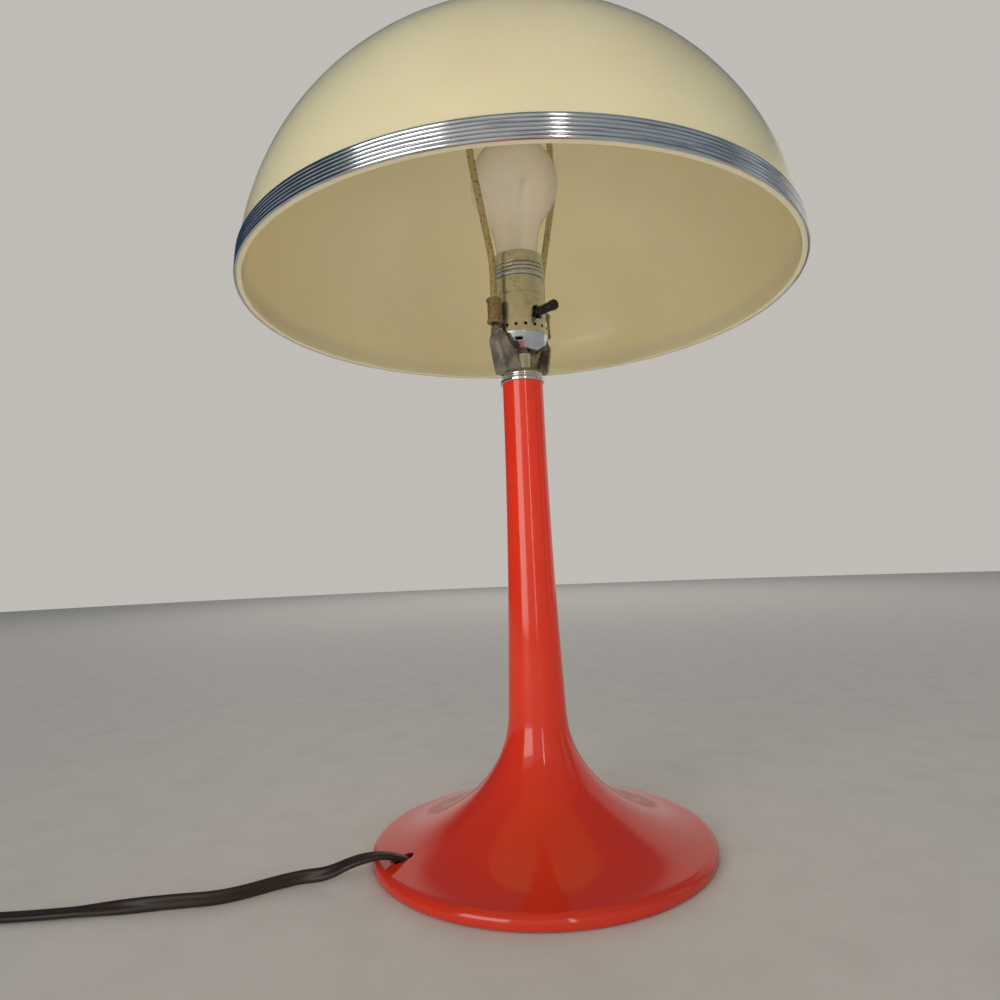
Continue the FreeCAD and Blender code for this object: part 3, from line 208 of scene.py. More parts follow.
def grid_object(name: str, grid: Array, close: Close, crease: float = CREASE, dark: Array | None = None) -> Piece:
    """Make a smooth-shaded object from a grid of points.

    Point (row, column) has index row * columns + column, and each face joins it to the next row and column.

    Args:
        name: the object's name.
        grid: (rows, columns, 3) places in millimetres.
        close: whether the columns, or both ways, run round.
        crease: edges sharper than this many degrees stay crisp.
        dark: share of painted darkening at each point, shade in hollows and a seam line, kept as the attribute
            "dark".

    Returns:
        The object, with doubles merged and faces turned outwards.
    """
    rows, columns = grid.shape[:2]
    down = np.arange(rows if close is Close.RING else rows - 1)
    across = np.arange(columns - 1 if close is Close.OPEN else columns)
    row, column = np.meshgrid(down, across, indexing="ij")
    below, beside = (row + 1) % rows, (column + 1) % columns
    here, under = row * columns, below * columns
    faces = together(here + column, here + beside, under + beside, under + column)
    mesh = bpy.data.meshes.new(name)
    mesh.from_pydata((grid.reshape(-1, 3) * MM).tolist(), [], faces.reshape(-1, 4).tolist())
    if dark is not None:
        mesh.attributes.new("dark", "FLOAT", "POINT").data.foreach_set("value", dark.ravel())
    form = bmesh.new()
    form.from_mesh(mesh)
    bmesh.ops.remove_doubles(form, verts=form.verts, dist=MERGE)
    bmesh.ops.recalc_face_normals(form, faces=form.faces)
    form.to_mesh(mesh)
    form.free()
    mesh.shade_smooth()
    mesh.set_sharp_from_angle(angle=math.radians(crease))
    return add_object(name, mesh)


def lathe_grid(profile: Array, segments: int) -> Array:
    """Turn a profile of (radius, height) about Z: x = r cos(a), y = r sin(a), z = height, for even angles a."""
    return together(*polar(profile[:, :1], all_round(segments)), profile[:, 1:])


def lathe(name: str, profile: Array, segments: int = 192, ring: bool = False, crease: float = CREASE) -> Piece:
    """Make a turned piece; a ring's profile runs back to its first point.

    Args:
        name: the object's name.
        profile: (count, 2) places of (radius, height) in millimetres.
        segments: spans round the axis.
        ring: whether the profile is a closed outline off the axis.
        crease: edges sharper than this many degrees stay crisp.

    Returns:
        The object.
    """
    return grid_object(name, lathe_grid(profile, segments), Close.RING if ring else Close.ROUND, crease)


def sweep(name: str, path: Array, section: Array, up: Array, twist: Array | float = 0.0) -> Piece:
    """Carry a closed section along a path and close both ends.

    Point (i, j) = path_i + u_j * side_i + v_j * rise_i, with side = heading x up and rise = side x heading, both
    unit, and (u, v) the section turned by the twist at i. The two end rows are drawn in to the path's ends, so that
    the caps have no hole.

    Args:
        name: the object's name.
        path: (count, 3) places in millimetres.
        section: (count, 2) or (rows, count, 2) places across the path.
        up: the way that stays up along the path.
        twist: angle in radians, one or one per point of the path.

    Returns:
        The object.
    """
    ahead = headings(path)
    side = np.cross(ahead, up)
    side /= np.linalg.norm(side, axis=1, keepdims=True)
    rise = np.cross(side, ahead)
    turn = np.broadcast_to(np.asarray(twist, float), (len(path),))[:, None]
    shape = np.broadcast_to(section, (len(path),) + section.shape[-2:])
    across = shape[..., 0] * np.cos(turn) - shape[..., 1] * np.sin(turn)
    over = shape[..., 0] * np.sin(turn) + shape[..., 1] * np.cos(turn)
    grid = path[:, None] + across[..., None] * side[:, None] + over[..., None] * rise[:, None]
    first, last = (np.broadcast_to(path[end], grid.shape[1:])[None] for end in (0, -1))
    return grid_object(name, np.concatenate([first, grid, last]), Close.ROUND)


def thicken(piece: Piece, sheet: float, offset: float) -> None:
    """Give a surface its sheet's thickness in millimetres, inwards for an offset of -1 and to both sides for 0."""
    thick = piece.modifiers.new("sheet", "SOLIDIFY")
    thick.thickness, thick.offset = sheet * MM, offset


# --- finishes
def linear(code: str) -> tuple[float, float, float, float]:
    """Turn an sRGB hex value into linear red, green, blue and one for alpha, by the standard's own curve.

    Args:
        code: the value, such as "#E2381F".

    Returns:
        Four shares from 0 to 1.
    """
    values = np.array([int(code[i:i + 2], 16) for i in (1, 3, 5)]) / 255
    values = np.where(values <= 0.04045, values / 12.92, ((values + 0.055) / 1.055) ** 2.4)
    return (*values.tolist(), 1.0)


def add_node(
    tree: bpy.types.NodeTree, kind: str, inputs: dict | None = None, links: dict | None = None, **settings: object
) -> bpy.types.Node:
    """Add one node with its settings, its input values and its links.

    Args:
        tree: the material's or the world's tree.
        kind: the node's type name.
        inputs: values by socket name or number.
        links: sockets to link from, by input name or number.
        settings: the node's own properties.

    Returns:
        The node.
    """
    node = tree.nodes.new(kind)
    for name, value in settings.items():
        setattr(node, name, value)
    for socket, value in (inputs or {}).items():
        node.inputs[socket].default_value = value
    for socket, source in (links or {}).items():
        tree.links.new(source, node.inputs[socket])
    return node


@dataclass(frozen=True)
class Finish:
    """A surface as it was made: colour with patches, gloss that varies, and a fine relief, with painted shade where
    asked.

    Attributes:
        name: the material's name.
        colour: sRGB hex value of the surface.
        patch: sRGB hex value of its patches.
        patch_mm: how far across its patches are.
        patch_edge: the noise's values between which a patch sets in.
        rough: roughness of the surface and of its patches.
        relief_mm: how far across the relief's bumps are.
        relief_height: how high they are, in millimetres.
        metallic: share of metal.
        stretch: how far the patterns are drawn out along X, Y and Z.
        reads_painted_shade: whether the attribute "dark" blackens it.
        shader: values set on the shader's own sockets, by name.
    """

    name: str
    colour: str
    patch: str
    patch_mm: float = 20.0
    patch_edge: tuple[float, float] = (0.45, 0.75)
    rough: tuple[float, float] = (0.3, 0.4)
    relief_mm: float = 1.0
    relief_height: float = 0.02
    metallic: float = 0.0
    stretch: tuple[float, float, float] = (1.0, 1.0, 1.0)
    reads_painted_shade: bool = False
    shader: tuple[tuple[str, object], ...] = ()

    def make(self) -> bpy.types.Material:
        """Build the material, once, with all its patterns on Object coordinates.

        Returns:
            The material.
        """
        if self.name in bpy.data.materials:
            return bpy.data.materials[self.name]
        material = bpy.data.materials.new(self.name)
        material.use_nodes = True
        tree = material.node_tree
        shader = tree.nodes["Principled BSDF"]
        place = add_node(tree, "ShaderNodeTexCoord").outputs["Object"]
        drawn = {"Vector": add_node(tree, "ShaderNodeMapping", {"Scale": tuple(1.0 / way for way in self.stretch)},
                                    {"Vector": place}).outputs[0]}
        cloud = add_node(tree, "ShaderNodeTexNoise", {"Scale": 1 / (self.patch_mm * MM), "Detail": 4.0}, drawn)
        share = add_node(tree, "ShaderNodeMapRange", dict(zip((1, 2), self.patch_edge)),
                         {0: cloud.outputs["Fac"]}).outputs[0]
        colour = add_node(tree, "ShaderNodeMix", {6: linear(self.colour), 7: linear(self.patch)}, {"Factor": share},
                          data_type="RGBA").outputs[2]
        rough = add_node(tree, "ShaderNodeMapRange", dict(zip((3, 4), self.rough)), {0: share}).outputs[0]
        # Painted shade: the attribute "dark" blackens the colour and dulls the gloss in hollows.
        if self.reads_painted_shade:
            painted_shade = add_node(tree, "ShaderNodeAttribute", attribute_name="dark").outputs["Fac"]
            colour = add_node(tree, "ShaderNodeMix", {7: linear("#100E0C")}, {"Factor": painted_shade, 6: colour},
                              data_type="RGBA").outputs[2]
            rough = add_node(tree, "ShaderNodeMath", {}, {0: rough, 1: painted_shade}, operation="MAXIMUM").outputs[0]
        tree.links.new(colour, shader.inputs["Base Color"])
        tree.links.new(rough, shader.inputs["Roughness"])
        for socket, value in (("Metallic", self.metallic), *self.shader):
            shader.inputs[socket].default_value = value
        if self.relief_height > 0:
            grain = add_node(tree, "ShaderNodeTexNoise", {"Scale": 1 / (self.relief_mm * MM), "Detail": 3.0}, drawn)
            bump = add_node(tree, "ShaderNodeBump", {"Strength": 1.0, "Distance": self.relief_height * MM},
                            {"Height": grain.outputs["Fac"]})
            tree.links.new(bump.outputs[0], shader.inputs["Normal"])
        return material


# Sprayed and baked gloss enamel on spun steel: a clean orange-red with a wet, sharp gloss and hardly any peel.
RED_ENAMEL = Finish("gloss_enamel_on_spun_steel", "#E2381F", "#DB341C", patch_mm=70, rough=(0.09, 0.14),
                    relief_mm=4.0, relief_height=0.004, shader=(("IOR", 1.52),))
# Polished chromium plate: a near mirror with hair scratches and a haze of fingerprints.
CHROME = Finish("polished_chromium_plate", "#E2E4E6", "#C4C6C8", patch_mm=9, patch_edge=(0.5, 0.8),
                rough=(0.05, 0.18), relief_mm=0.6, relief_height=0.002, metallic=1.0)
# Chromium plate on the thin rolled trim: bright, with long streaks of dulled plate that run round the shade.
BRIGHT_TRIM = Finish("chromium_plate_on_rolled_trim", "#DDE1E6", "#8F979F", patch_mm=26, patch_edge=(0.5, 0.72),
                     rough=(0.09, 0.2), relief_mm=9, relief_height=0.03, metallic=1.0,
                     stretch=(1.0, 1.0, 0.045))
# Brass wire left bare for decades: dull yellow-tan with specks of brown tarnish, finely pitted.
AGED_BRASS = Finish("tarnished_drawn_brass", "#C9BE9E", "#6E5C3C", patch_mm=1.6, patch_edge=(0.54, 0.7),
                    rough=(0.34, 0.6), relief_mm=0.8, relief_height=0.05, metallic=0.85)
# Brass tube gone brown and grainy all over.
BROWN_BRASS = Finish("browned_brass_tube", "#B19C7C", "#7A684E", patch_mm=0.9, patch_edge=(0.4, 0.6),
                     rough=(0.42, 0.65), relief_mm=1.0, relief_height=0.08, metallic=0.8)
# Cold-rolled strip, stamped, its blackening worn half bright: a warm grey metal, uneven and softly dented, that looks
# nearly black where it mirrors dark walls.
BLACK_STEEL = Finish("stamped_blackened_steel", "#B9ADA0", "#8F867B", patch_mm=8, patch_edge=(0.4, 0.62),
                     rough=(0.26, 0.46), relief_mm=4.5, relief_height=0.26, metallic=1.0)
# Drawn brass shell under dull nickel: smooth soft silver with a few handling marks.
NICKEL = Finish("dull_nickel_plate", "#DADFE6", "#BABFC6", patch_mm=7, patch_edge=(0.5, 0.75),
                rough=(0.24, 0.36), relief_mm=1.6, relief_height=0.004, metallic=1.0, reads_painted_shade=True)
# The same plate on the cap, as a copy painted brighter and cooler for the light that falls on it,
# with painted shade in its punched holes.
LIT_PUNCHED_NICKEL = Finish("nickel_plate_painted_lit", "#E3EAF3", "#CAD0D8", patch_mm=5, patch_edge=(0.5, 0.75),
                        rough=(0.14, 0.28), relief_mm=1.6, relief_height=0.006, metallic=1.0, reads_painted_shade=True)
# Thermoformed cream acrylic, 3 mm: an opal body in which light spreads by about 7 mm, polished on both faces.
CREAM_ACRYLIC = Finish("thermoformed_cream_acrylic", "#D7D2B2", "#D2CBA9", patch_mm=90, rough=(0.1, 0.14),
                       relief_mm=16, relief_height=0.01,
                       shader=(("Subsurface Weight", 1.0), ("Subsurface Radius", (1.0, 0.86, 0.62)),
                               ("Subsurface Scale", 0.007), ("IOR", 1.49)))
# Soda-lime bulb glass, etched inside: white and soft, with a smooth outside. The IOR is far under the 1.5 of glass,
# and was matched to the photograph.
FROSTED_GLASS = Finish("inside_frosted_bulb_glass", "#FFFFFF", "#FFFBF8", patch_mm=25, rough=(0.34, 0.4),
                       relief_mm=8, relief_height=0.004, shader=(("Transmission Weight", 0.86), ("IOR", 1.12)))
# Clear glass of the mount inside the bulb.
CLEAR_GLASS = Finish("clear_mount_glass", "#F4F7F6", "#EEF2F0", rough=(0.03, 0.05), relief_height=0.0,
                     shader=(("Transmission Weight", 1.0), ("IOR", 1.5)))
# Black lead glass under the bulb.
BLACK_GLASS = Finish("black_lead_glass", "#121215", "#1B1B20", rough=(0.08, 0.14), relief_height=0.0)
# Phenolic resin, compression moulded: glossy black with a faint flow grain.
BLACK_PHENOLIC = Finish("moulded_black_phenolic", "#0E0E0F", "#191718", patch_mm=2.5, rough=(0.2, 0.34),
                        relief_mm=1.5, relief_height=0.01)
# Flexible vinyl, extruded over two cores: dark brown, half gloss, gone a little greasy.
BROWN_VINYL = Finish("extruded_brown_vinyl", "#281D17", "#32251E", patch_mm=14, rough=(0.46, 0.58),
                     relief_mm=1.6, relief_height=0.03)
# Moulded vinyl of the plug.
PLUG_VINYL = Finish("moulded_brown_vinyl", "#2B221C", "#382D25", patch_mm=8, rough=(0.42, 0.55), relief_mm=0.5,
                    relief_height=0.03)
# Grey iron as it left the sand mould.
CAST_IRON = Finish("sand_cast_iron", "#3A3836", "#27211D", patch_mm=12, rough=(0.62, 0.78), relief_mm=1.1,
                   relief_height=0.25, metallic=0.85)
# Pressed wool felt, dark green.
WOOL_FELT = Finish("pressed_wool_felt", "#22452B", "#2C5536", patch_mm=2.2, rough=(0.95, 1.0), relief_mm=0.8,
                   relief_height=0.3, shader=(("Sheen Weight", 0.4), ("Sheen Roughness", 0.5)))
# Steel hardware under bright zinc.
ZINC = Finish("bright_zinc_on_steel", "#B4B5B1", "#91918C", patch_mm=4, rough=(0.3, 0.45), relief_mm=0.8,
              relief_height=0.01, metallic=1.0)
# Grey-brown pressed card.
LINER_CARD = Finish("pressed_liner_card", "#75624A", "#66543E", patch_mm=3, rough=(0.85, 0.95), relief_mm=0.4,
                    relief_height=0.05)
# Plain rolled brass that air has not reached much.
PLAIN_BRASS = Finish("rolled_brass", "#C3A25B", "#A98A48", patch_mm=3, rough=(0.22, 0.36), relief_mm=0.5,
                     relief_height=0.01, metallic=1.0)
# Thin drawn aluminium of the bulb's screw base.
THIN_ALUMINIUM = Finish("drawn_aluminium", "#C7C8C8", "#ABACAC", patch_mm=4, rough=(0.26, 0.36), relief_mm=0.7,
                        relief_height=0.01, metallic=1.0)
# Dull grey solder.
SOLDER = Finish("tin_lead_solder", "#8E8D8A", "#77756F", patch_mm=1.5, rough=(0.4, 0.55), relief_mm=0.9,
                relief_height=0.05, metallic=1.0)
# Drawn tungsten wire.
TUNGSTEN = Finish("drawn_tungsten_wire", "#55565A", "#45464A", patch_mm=1, rough=(0.35, 0.45),
                  relief_height=0.0, metallic=1.0)


def dress(piece: Piece, finish: Finish) -> Piece:
    """Give a piece one finish in place of whatever it had, and return it."""
    piece.data.materials.clear()
    piece.data.materials.append(finish.make())
    return piece


def mount(piece: Piece, body: str, finish: Finish, slot: str, *nodes: str) -> Piece:
    """Dress a finished piece, let it ride on its body and stand for its CAD nodes.

    Args:
        piece: the finished object.
        body: the CAD body that carries it.
        finish: its surface.
        slot: the record's material slot; not used.
        nodes: the CAD nodes that it replaces.

    Returns:
        The piece.
    """
    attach(dress(piece, finish), body)
    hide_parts(*nodes)
    LOG.info("%s: %d faces, rides on %s for %s", piece.name, len(piece.data.polygons), body, ", ".join(nodes))
    return piece


def dress_nodes(finish: Finish, *nodes: str) -> None:
    """Give CAD nodes whose shape is kept their finish."""
    for node in nodes:
        dress(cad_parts[node], finish)
        LOG.info("%s keeps its CAD shape in %s", node, finish.name)


# --- foot and stem
@dataclass(frozen=True)
class CordHole:
    """Hole near the foot's edge, through which the lead comes out and a little upwards."""

    azimuth: float = 206.3
    radius: float = 90.3
    height: float = 9.713
    pitch: float = 24.0
    bore: float = 4.2
    drill_half: float = 12.0

    def place(self) -> tuple[Array, Array]:
        """Find the hole.

        Returns:
            Its middle, and the unit direction in which it leads out.
        """
        turn, pitch = math.radians(self.azimuth), math.radians(self.pitch)
        out = np.array([math.cos(turn), math.sin(turn), 0.0])
        return out * self.radius + UP * self.height, out * math.cos(pitch) + UP * math.sin(pitch)

    def drill(self) -> Piece:
        """Make the round rod that cuts it, and is taken away after the cut."""
        middle, ahead = self.place()
        path = middle + np.linspace(-self.drill_half, self.drill_half, 7)[:, None] * ahead
        return sweep("cord_hole_drill", path, circle_section(self.bore, 48), UP)


@dataclass
class FootAndStem:
    """Trumpet-shaped base and stem in one spun shell, the ring on top, and what the foot holds."""

    stem_top: float = 294.0
    stem_radius: float = 12.6
    stem_sweep: float = 4560.0
    stem_lean: float = 2.7
    foot_sweep: float = 64.0
    foot_slope: float = 51.7
    skirt_slope: float = 84.3
    base_radius: float = 105.0
    lip_curve: float = 4.5
    lip_low: float = 0.8
    lip_break: float = 0.3
    lip_side: float = 0.5
    wall: float = 1.6
    fuller: float = 0.9
    flare_fuller: float = 0.7
    flare_middle: float = 38.0
    flare_spread: float = 18.0
    fuller_end: float = 78.0
    fuller_fade: float = 16.0
    plain_from: float = 90.0
    hole: CordHole = CordHole()
    ring_radius: float = 14.7
    ring_top_radius: float = 13.7
    ring_height: float = 6.0
    ring_bore: float = 8.0
    spigot_radius: float = 10.7
    spigot: float = 5.0

    def outer_line(self) -> Array:
        """Work out the outside of the trumpet from its top end down to the lip's lower edge.

        Each curve has one radius R, and its slope s from upright grows as it goes down: the radius grows by
        R (cos s0 - cos s) and the height falls by R (sin s - sin s0). The lip runs the same rule backwards.

        Returns:
            (count, 2) places of (radius, height).
        """
        lines = [np.array([[self.stem_radius, self.stem_top]])]
        lip = self.base_radius - self.lip_curve * (1 - math.cos(math.radians(self.skirt_slope)))
        for sweep_radius, low, high, step in ((self.stem_sweep, 0.0, self.stem_lean, 0.06),
                                              (self.foot_sweep, self.stem_lean, self.foot_slope, 1.5),
                                              (None, self.foot_slope, self.skirt_slope, 1.2)):
            slope = arc(low, high, step)
            first = lines[-1][-1]
            if sweep_radius is None:
                sweep_radius = (lip - first[0]) / (math.cos(slope[0]) - math.cos(slope[-1]))
            run = together(np.cos(slope[0]) - np.cos(slope), np.sin(slope[0]) - np.sin(slope))
            lines.append(first + sweep_radius * run[1:])
        slope = arc(self.skirt_slope, 0.0, 9.0)
        run = together(np.cos(slope) - np.cos(slope[0]), np.sin(slope) - np.sin(slope[0]))
        lines.append(lines[-1][-1] + self.lip_curve * run[1:])
        lines.append(np.array([[self.base_radius, self.lip_low + self.lip_side]]))
        return np.concatenate(lines)

    def trumpet(self) -> Piece:
        """Spin the shell, with its inside parallel to its outside, and bore the cord's hole through near the lip.

        The stem and its flare swell outwards along their normals by a millimetre or so, by a bell more in the
        flare's middle, and by nothing from where the skirt is nearly flat.

        Returns:
            The object.
        """
        outer = self.outer_line()
        run = np.gradient(outer, axis=0)
        slope = np.degrees(np.arctan2(np.abs(run[:, 0]), np.abs(run[:, 1])))
        flare = 1 + self.flare_fuller * bell((slope - self.flare_middle) / self.flare_spread)
        swell = self.fuller * flare * held((self.fuller_end - slope) / self.fuller_fade)
        swell[outer[:, 0] > self.plain_from] = 0
        outer = outer + (offset_line(outer, 1.0) - outer) * swell[:, None]
        inner = offset_line(outer, -self.wall)
        inner_radius = self.base_radius - self.wall
        inner[-1] = (inner_radius, self.lip_low + self.lip_side)
        foot = np.array([[self.base_radius - self.lip_break, self.lip_low],
                         [inner_radius + self.lip_break, self.lip_low]])
        piece = lathe("trumpet_base", np.concatenate([outer, foot, inner[::-1]]), 360, ring=True)
        drill = self.hole.drill()
        cut = piece.modifiers.new("cord_hole", "BOOLEAN")
        cut.object, cut.operation, cut.solver = drill, "DIFFERENCE", "EXACT"
        bored = finished_mesh(piece)
        piece.modifiers.clear()
        piece.data = bored
        bpy.data.objects.remove(drill)
        bored.set_sharp_from_angle(angle=math.radians(CREASE))
        return piece

    def ring(self) -> Piece:
        """Turn the check ring: a straight lower lip, a small step, a hollow that narrows to its top, and a spigot.

        Returns:
            The object.
        """
        low, high, wide, top = self.stem_top, self.stem_top + self.ring_height, self.ring_radius, self.ring_top_radius
        line = rounded([
            (self.ring_bore, low - self.spigot), (self.ring_bore, high), (top - 1.2, high, 0.1), (top, high, 0.5),
            (top, high - 1.4, 0.4), (12.9, high - 2.1, 0.8), (13.1, low + 2.9, 0.8), (wide, low + 2.2, 0.6),
            (wide, low, 0.5), (11.0, low, 0.2), (self.spigot_radius, low - self.spigot, 0.3)])
        return lathe("check_ring", line, ring=True)

    def build(self) -> None:
        """Make and dress the foot, the stem and what they hold."""
        mount(self.trumpet(), "stand", RED_ENAMEL, "red_enamel", "trumpet_base")
        mount(self.ring(), "stand", CHROME, "chrome", "check_ring")
        dress_nodes(CAST_IRON, "base_weight")
        dress_nodes(WOOL_FELT, "felt_pad")
        dress_nodes(ZINC, "stem_pipe", "base_washer", "base_lock_washer", "base_hex_nut")


# --- harp
@dataclass
class Harp:
    """Stamped saddle, bent wire, the sleeves that join them, and the stud for the shade."""

    azimuth: float = 47.0
    saddle_low: float = 300.0
    sheet: float = 1.9
    saddle_half: float = 12.2
    saddle_round: float = 12.8
    saddle_least: float = 9.0
    disc_fade: float = 8.0
    edge_break: float = 0.35
    saddle_widths: tuple[tuple[float, float], ...] = (
        (300, 11.2), (304, 10.9), (309, 10.0), (315, 8.8), (319, 8.1), (322, 7.0), (325.5, 3.5), (329.5, 2.05),
        (340, 2.05))
    channel: float = 0.7
    channel_width: float = 2.2
    channel_low: float = 304.5
    channel_high: float = 323.0
    channel_fade: float = 3.0
    reach: float = 23.7
    arm_bend: float = 326.5
    tongue_top: float = 339.5
    wire: float = 2.3
    leg_straight: float = 365.0
    leg_lean: float = 14.0
    leg_bend: float = 60.0
    spread: float = 40.6
    arch: float = 31.0
    crown: float = 507.2
    flattened: float = 1.6
    flat_half: float = 9.5
    flat_fade: float = 4.5
    flat_power: float = 1.5
    eye_radius: float = 7.5
    eye_thick: float = 4.8
    eye_bore: float = 3.25
    sleeve_low: float = 330.5
    sleeve_height: float = 16.5
    sleeve_radius: float = 5.05
    sleeve_bore: float = 2.4
    sleeve_proud: float = 0.55

    def saddle(self) -> Piece:
        """Stamp the strip: along it s runs from tongue to tongue, and across it t from -1 to 1.

        The place is (x(s), t * half width(s), z(s)). The middle widens to a disc round the pipe, and a shallow
        stiffening channel is pressed along each arm: the sheet sinks by the channel's depth times a bell over t.

        Returns:
            The object, with its sheet's thickness and its edges broken.
        """
        middle_z = self.saddle_low + self.sheet / 2
        side = finer(rounded([(3.5, middle_z), (self.saddle_half + 0.5, middle_z, 2.5),
                              (self.reach, self.arm_bend, 4.0), (self.reach, self.tongue_top)], 8), 0.6)
        out, height = side[:, :1], side[:, 1:]
        half = np.interp(height, *zip(*self.saddle_widths))
        disc = np.sqrt(np.maximum(self.saddle_round ** 2 - out ** 2, self.saddle_least ** 2))
        half = np.where(height < self.saddle_low + 1.2, disc, half)
        across = np.linspace(-1, 1, 33)
        arm = 1 - held((self.saddle_half - out) / self.disc_fade)
        live = held((height - self.channel_low) / self.channel_fade) * held(
            (self.channel_high - height) / self.channel_fade) * arm
        sink = self.channel * bell(across * half / self.channel_width) * live
        run = headings(side)
        right = together(out - sink * run[:, 1:], across * half, height + sink * run[:, :1])
        left = right[::-1] * np.array([-1.0, 1.0, 1.0])
        bridge = turned_about_z(np.concatenate([left, right]), self.azimuth)
        piece = grid_object("harp_saddle", bridge, Close.OPEN, 40)
        thicken(piece, self.sheet, 0.0)
        soft = piece.modifiers.new("edges", "BEVEL")
        soft.width, soft.segments, soft.limit_method = self.edge_break * MM, 2, "ANGLE"
        soft.angle_limit = math.radians(50)
        return piece

    def wire_line(self) -> Array:
        """Work out the middle of the wire from one leg end to the other: straights joined by arcs tangent to both.

        Returns:
            (count, 3) places in the plane y = 0.
        """
        lean, bend = math.radians(self.leg_lean), self.leg_bend
        shift, rise = bend * (1 - math.cos(lean)), bend * math.sin(lean)
        slant = (self.spread - self.reach - 2 * shift) / math.tan(lean)
        low, tall = self.leg_straight, self.leg_straight + 2 * rise + slant
        angle = arc(0, self.leg_lean, 2.5)
        out = together(self.reach + bend * (1 - np.cos(angle)), low + bend * np.sin(angle))
        angle = angle[::-1]
        back = together(self.spread - bend * (1 - np.cos(angle)), tall - bend * np.sin(angle))
        angle = arc(0, 90, 6)
        over = together(self.spread - self.arch * (1 - np.cos(angle)), self.crown - self.arch * (1 - np.sin(angle)))
        half = np.concatenate([[[self.reach, self.tongue_top + 0.2]], out, back, over])
        line = distinct(finer(np.concatenate([half, half[::-1] * (-1, 1)]), 3.0), 0.01)
        return together(line[:, 0], 0.0, line[:, 1])

    def bow(self) -> Piece:
        """Sweep the round wire, flattened into the eye at its crown: there its width grows and its height stays.

        Returns:
            The object.
        """
        path = self.wire_line()
        from_crown = np.where(path[:, 2] < self.crown - 3, np.inf, np.abs(path[:, 0]))
        widen = 1 + self.flattened * held((self.flat_half - from_crown) / self.flat_fade) ** self.flat_power
        section = circle_section(self.wire)[None] * together(widen, 1.0)[:, None]
        upward = turned_about_z(np.array([0.0, 1.0, 0.0]), self.azimuth)
        return sweep("harp", turned_about_z(path, self.azimuth), section[..., ::-1], upward)

    def eye(self) -> Piece:
        """Turn the eye at the harp's crown: a rounded washer that the flattened wire runs into.

        Returns:
            The object.
        """
        low, high, bore = self.crown - self.eye_thick / 2, self.crown + self.eye_thick / 2, self.eye_bore
        line = rounded([(bore, low + 1), (bore, low, 0.3), (self.eye_radius, low, 1.6), (self.eye_radius, high, 1.6),
                        (bore, high, 0.3), (bore, low + 1)])
        return lathe("harp_eye", line, 96, ring=True)

    def sleeve(self, name: str, side: int) -> Piece:
        """Turn a tube with rolled ends that lie a little proud of its shank, set over one leg.

        Args:
            name: the object's name.
            side: -1 for the left leg and 1 for the right.

        Returns:
            The object.
        """
        low, high, bore = self.sleeve_low, self.sleeve_low + self.sleeve_height, self.sleeve_bore
        wide, shank = self.sleeve_radius, self.sleeve_radius - self.sleeve_proud
        line = rounded([
            (bore, low + 1), (bore, low, 0.4), (wide, low, 0.7), (wide, low + 1.9, 0.6), (shank, low + 2.6, 0.5),
            (shank, high - 2.6, 0.5), (wide, high - 1.9, 0.6), (wide, high, 0.7), (bore, high, 0.4), (bore, low + 1)])
        grid = lathe_grid(finer(line, 1.2), 64)
        grid[..., 0] += side * self.reach
        return grid_object(name, turned_about_z(grid, self.azimuth), Close.RING)

    def build(self) -> None:
        """Make and dress the harp and what goes with it."""
        mount(self.saddle(), "stand", BLACK_STEEL, "dark_steel", "harp_saddle")
        for piece in (self.bow(), self.eye()):
            mount(piece, "stand", AGED_BRASS, "aged_brass", "harp")
        for name, body, side in (("ferrule_left", "left_sleeve", -1), ("ferrule_right", "right_sleeve", 1)):
            mount(self.sleeve(name, side), body, BROWN_BRASS, "aged_brass", name)
        dress_nodes(AGED_BRASS, "harp_stud")


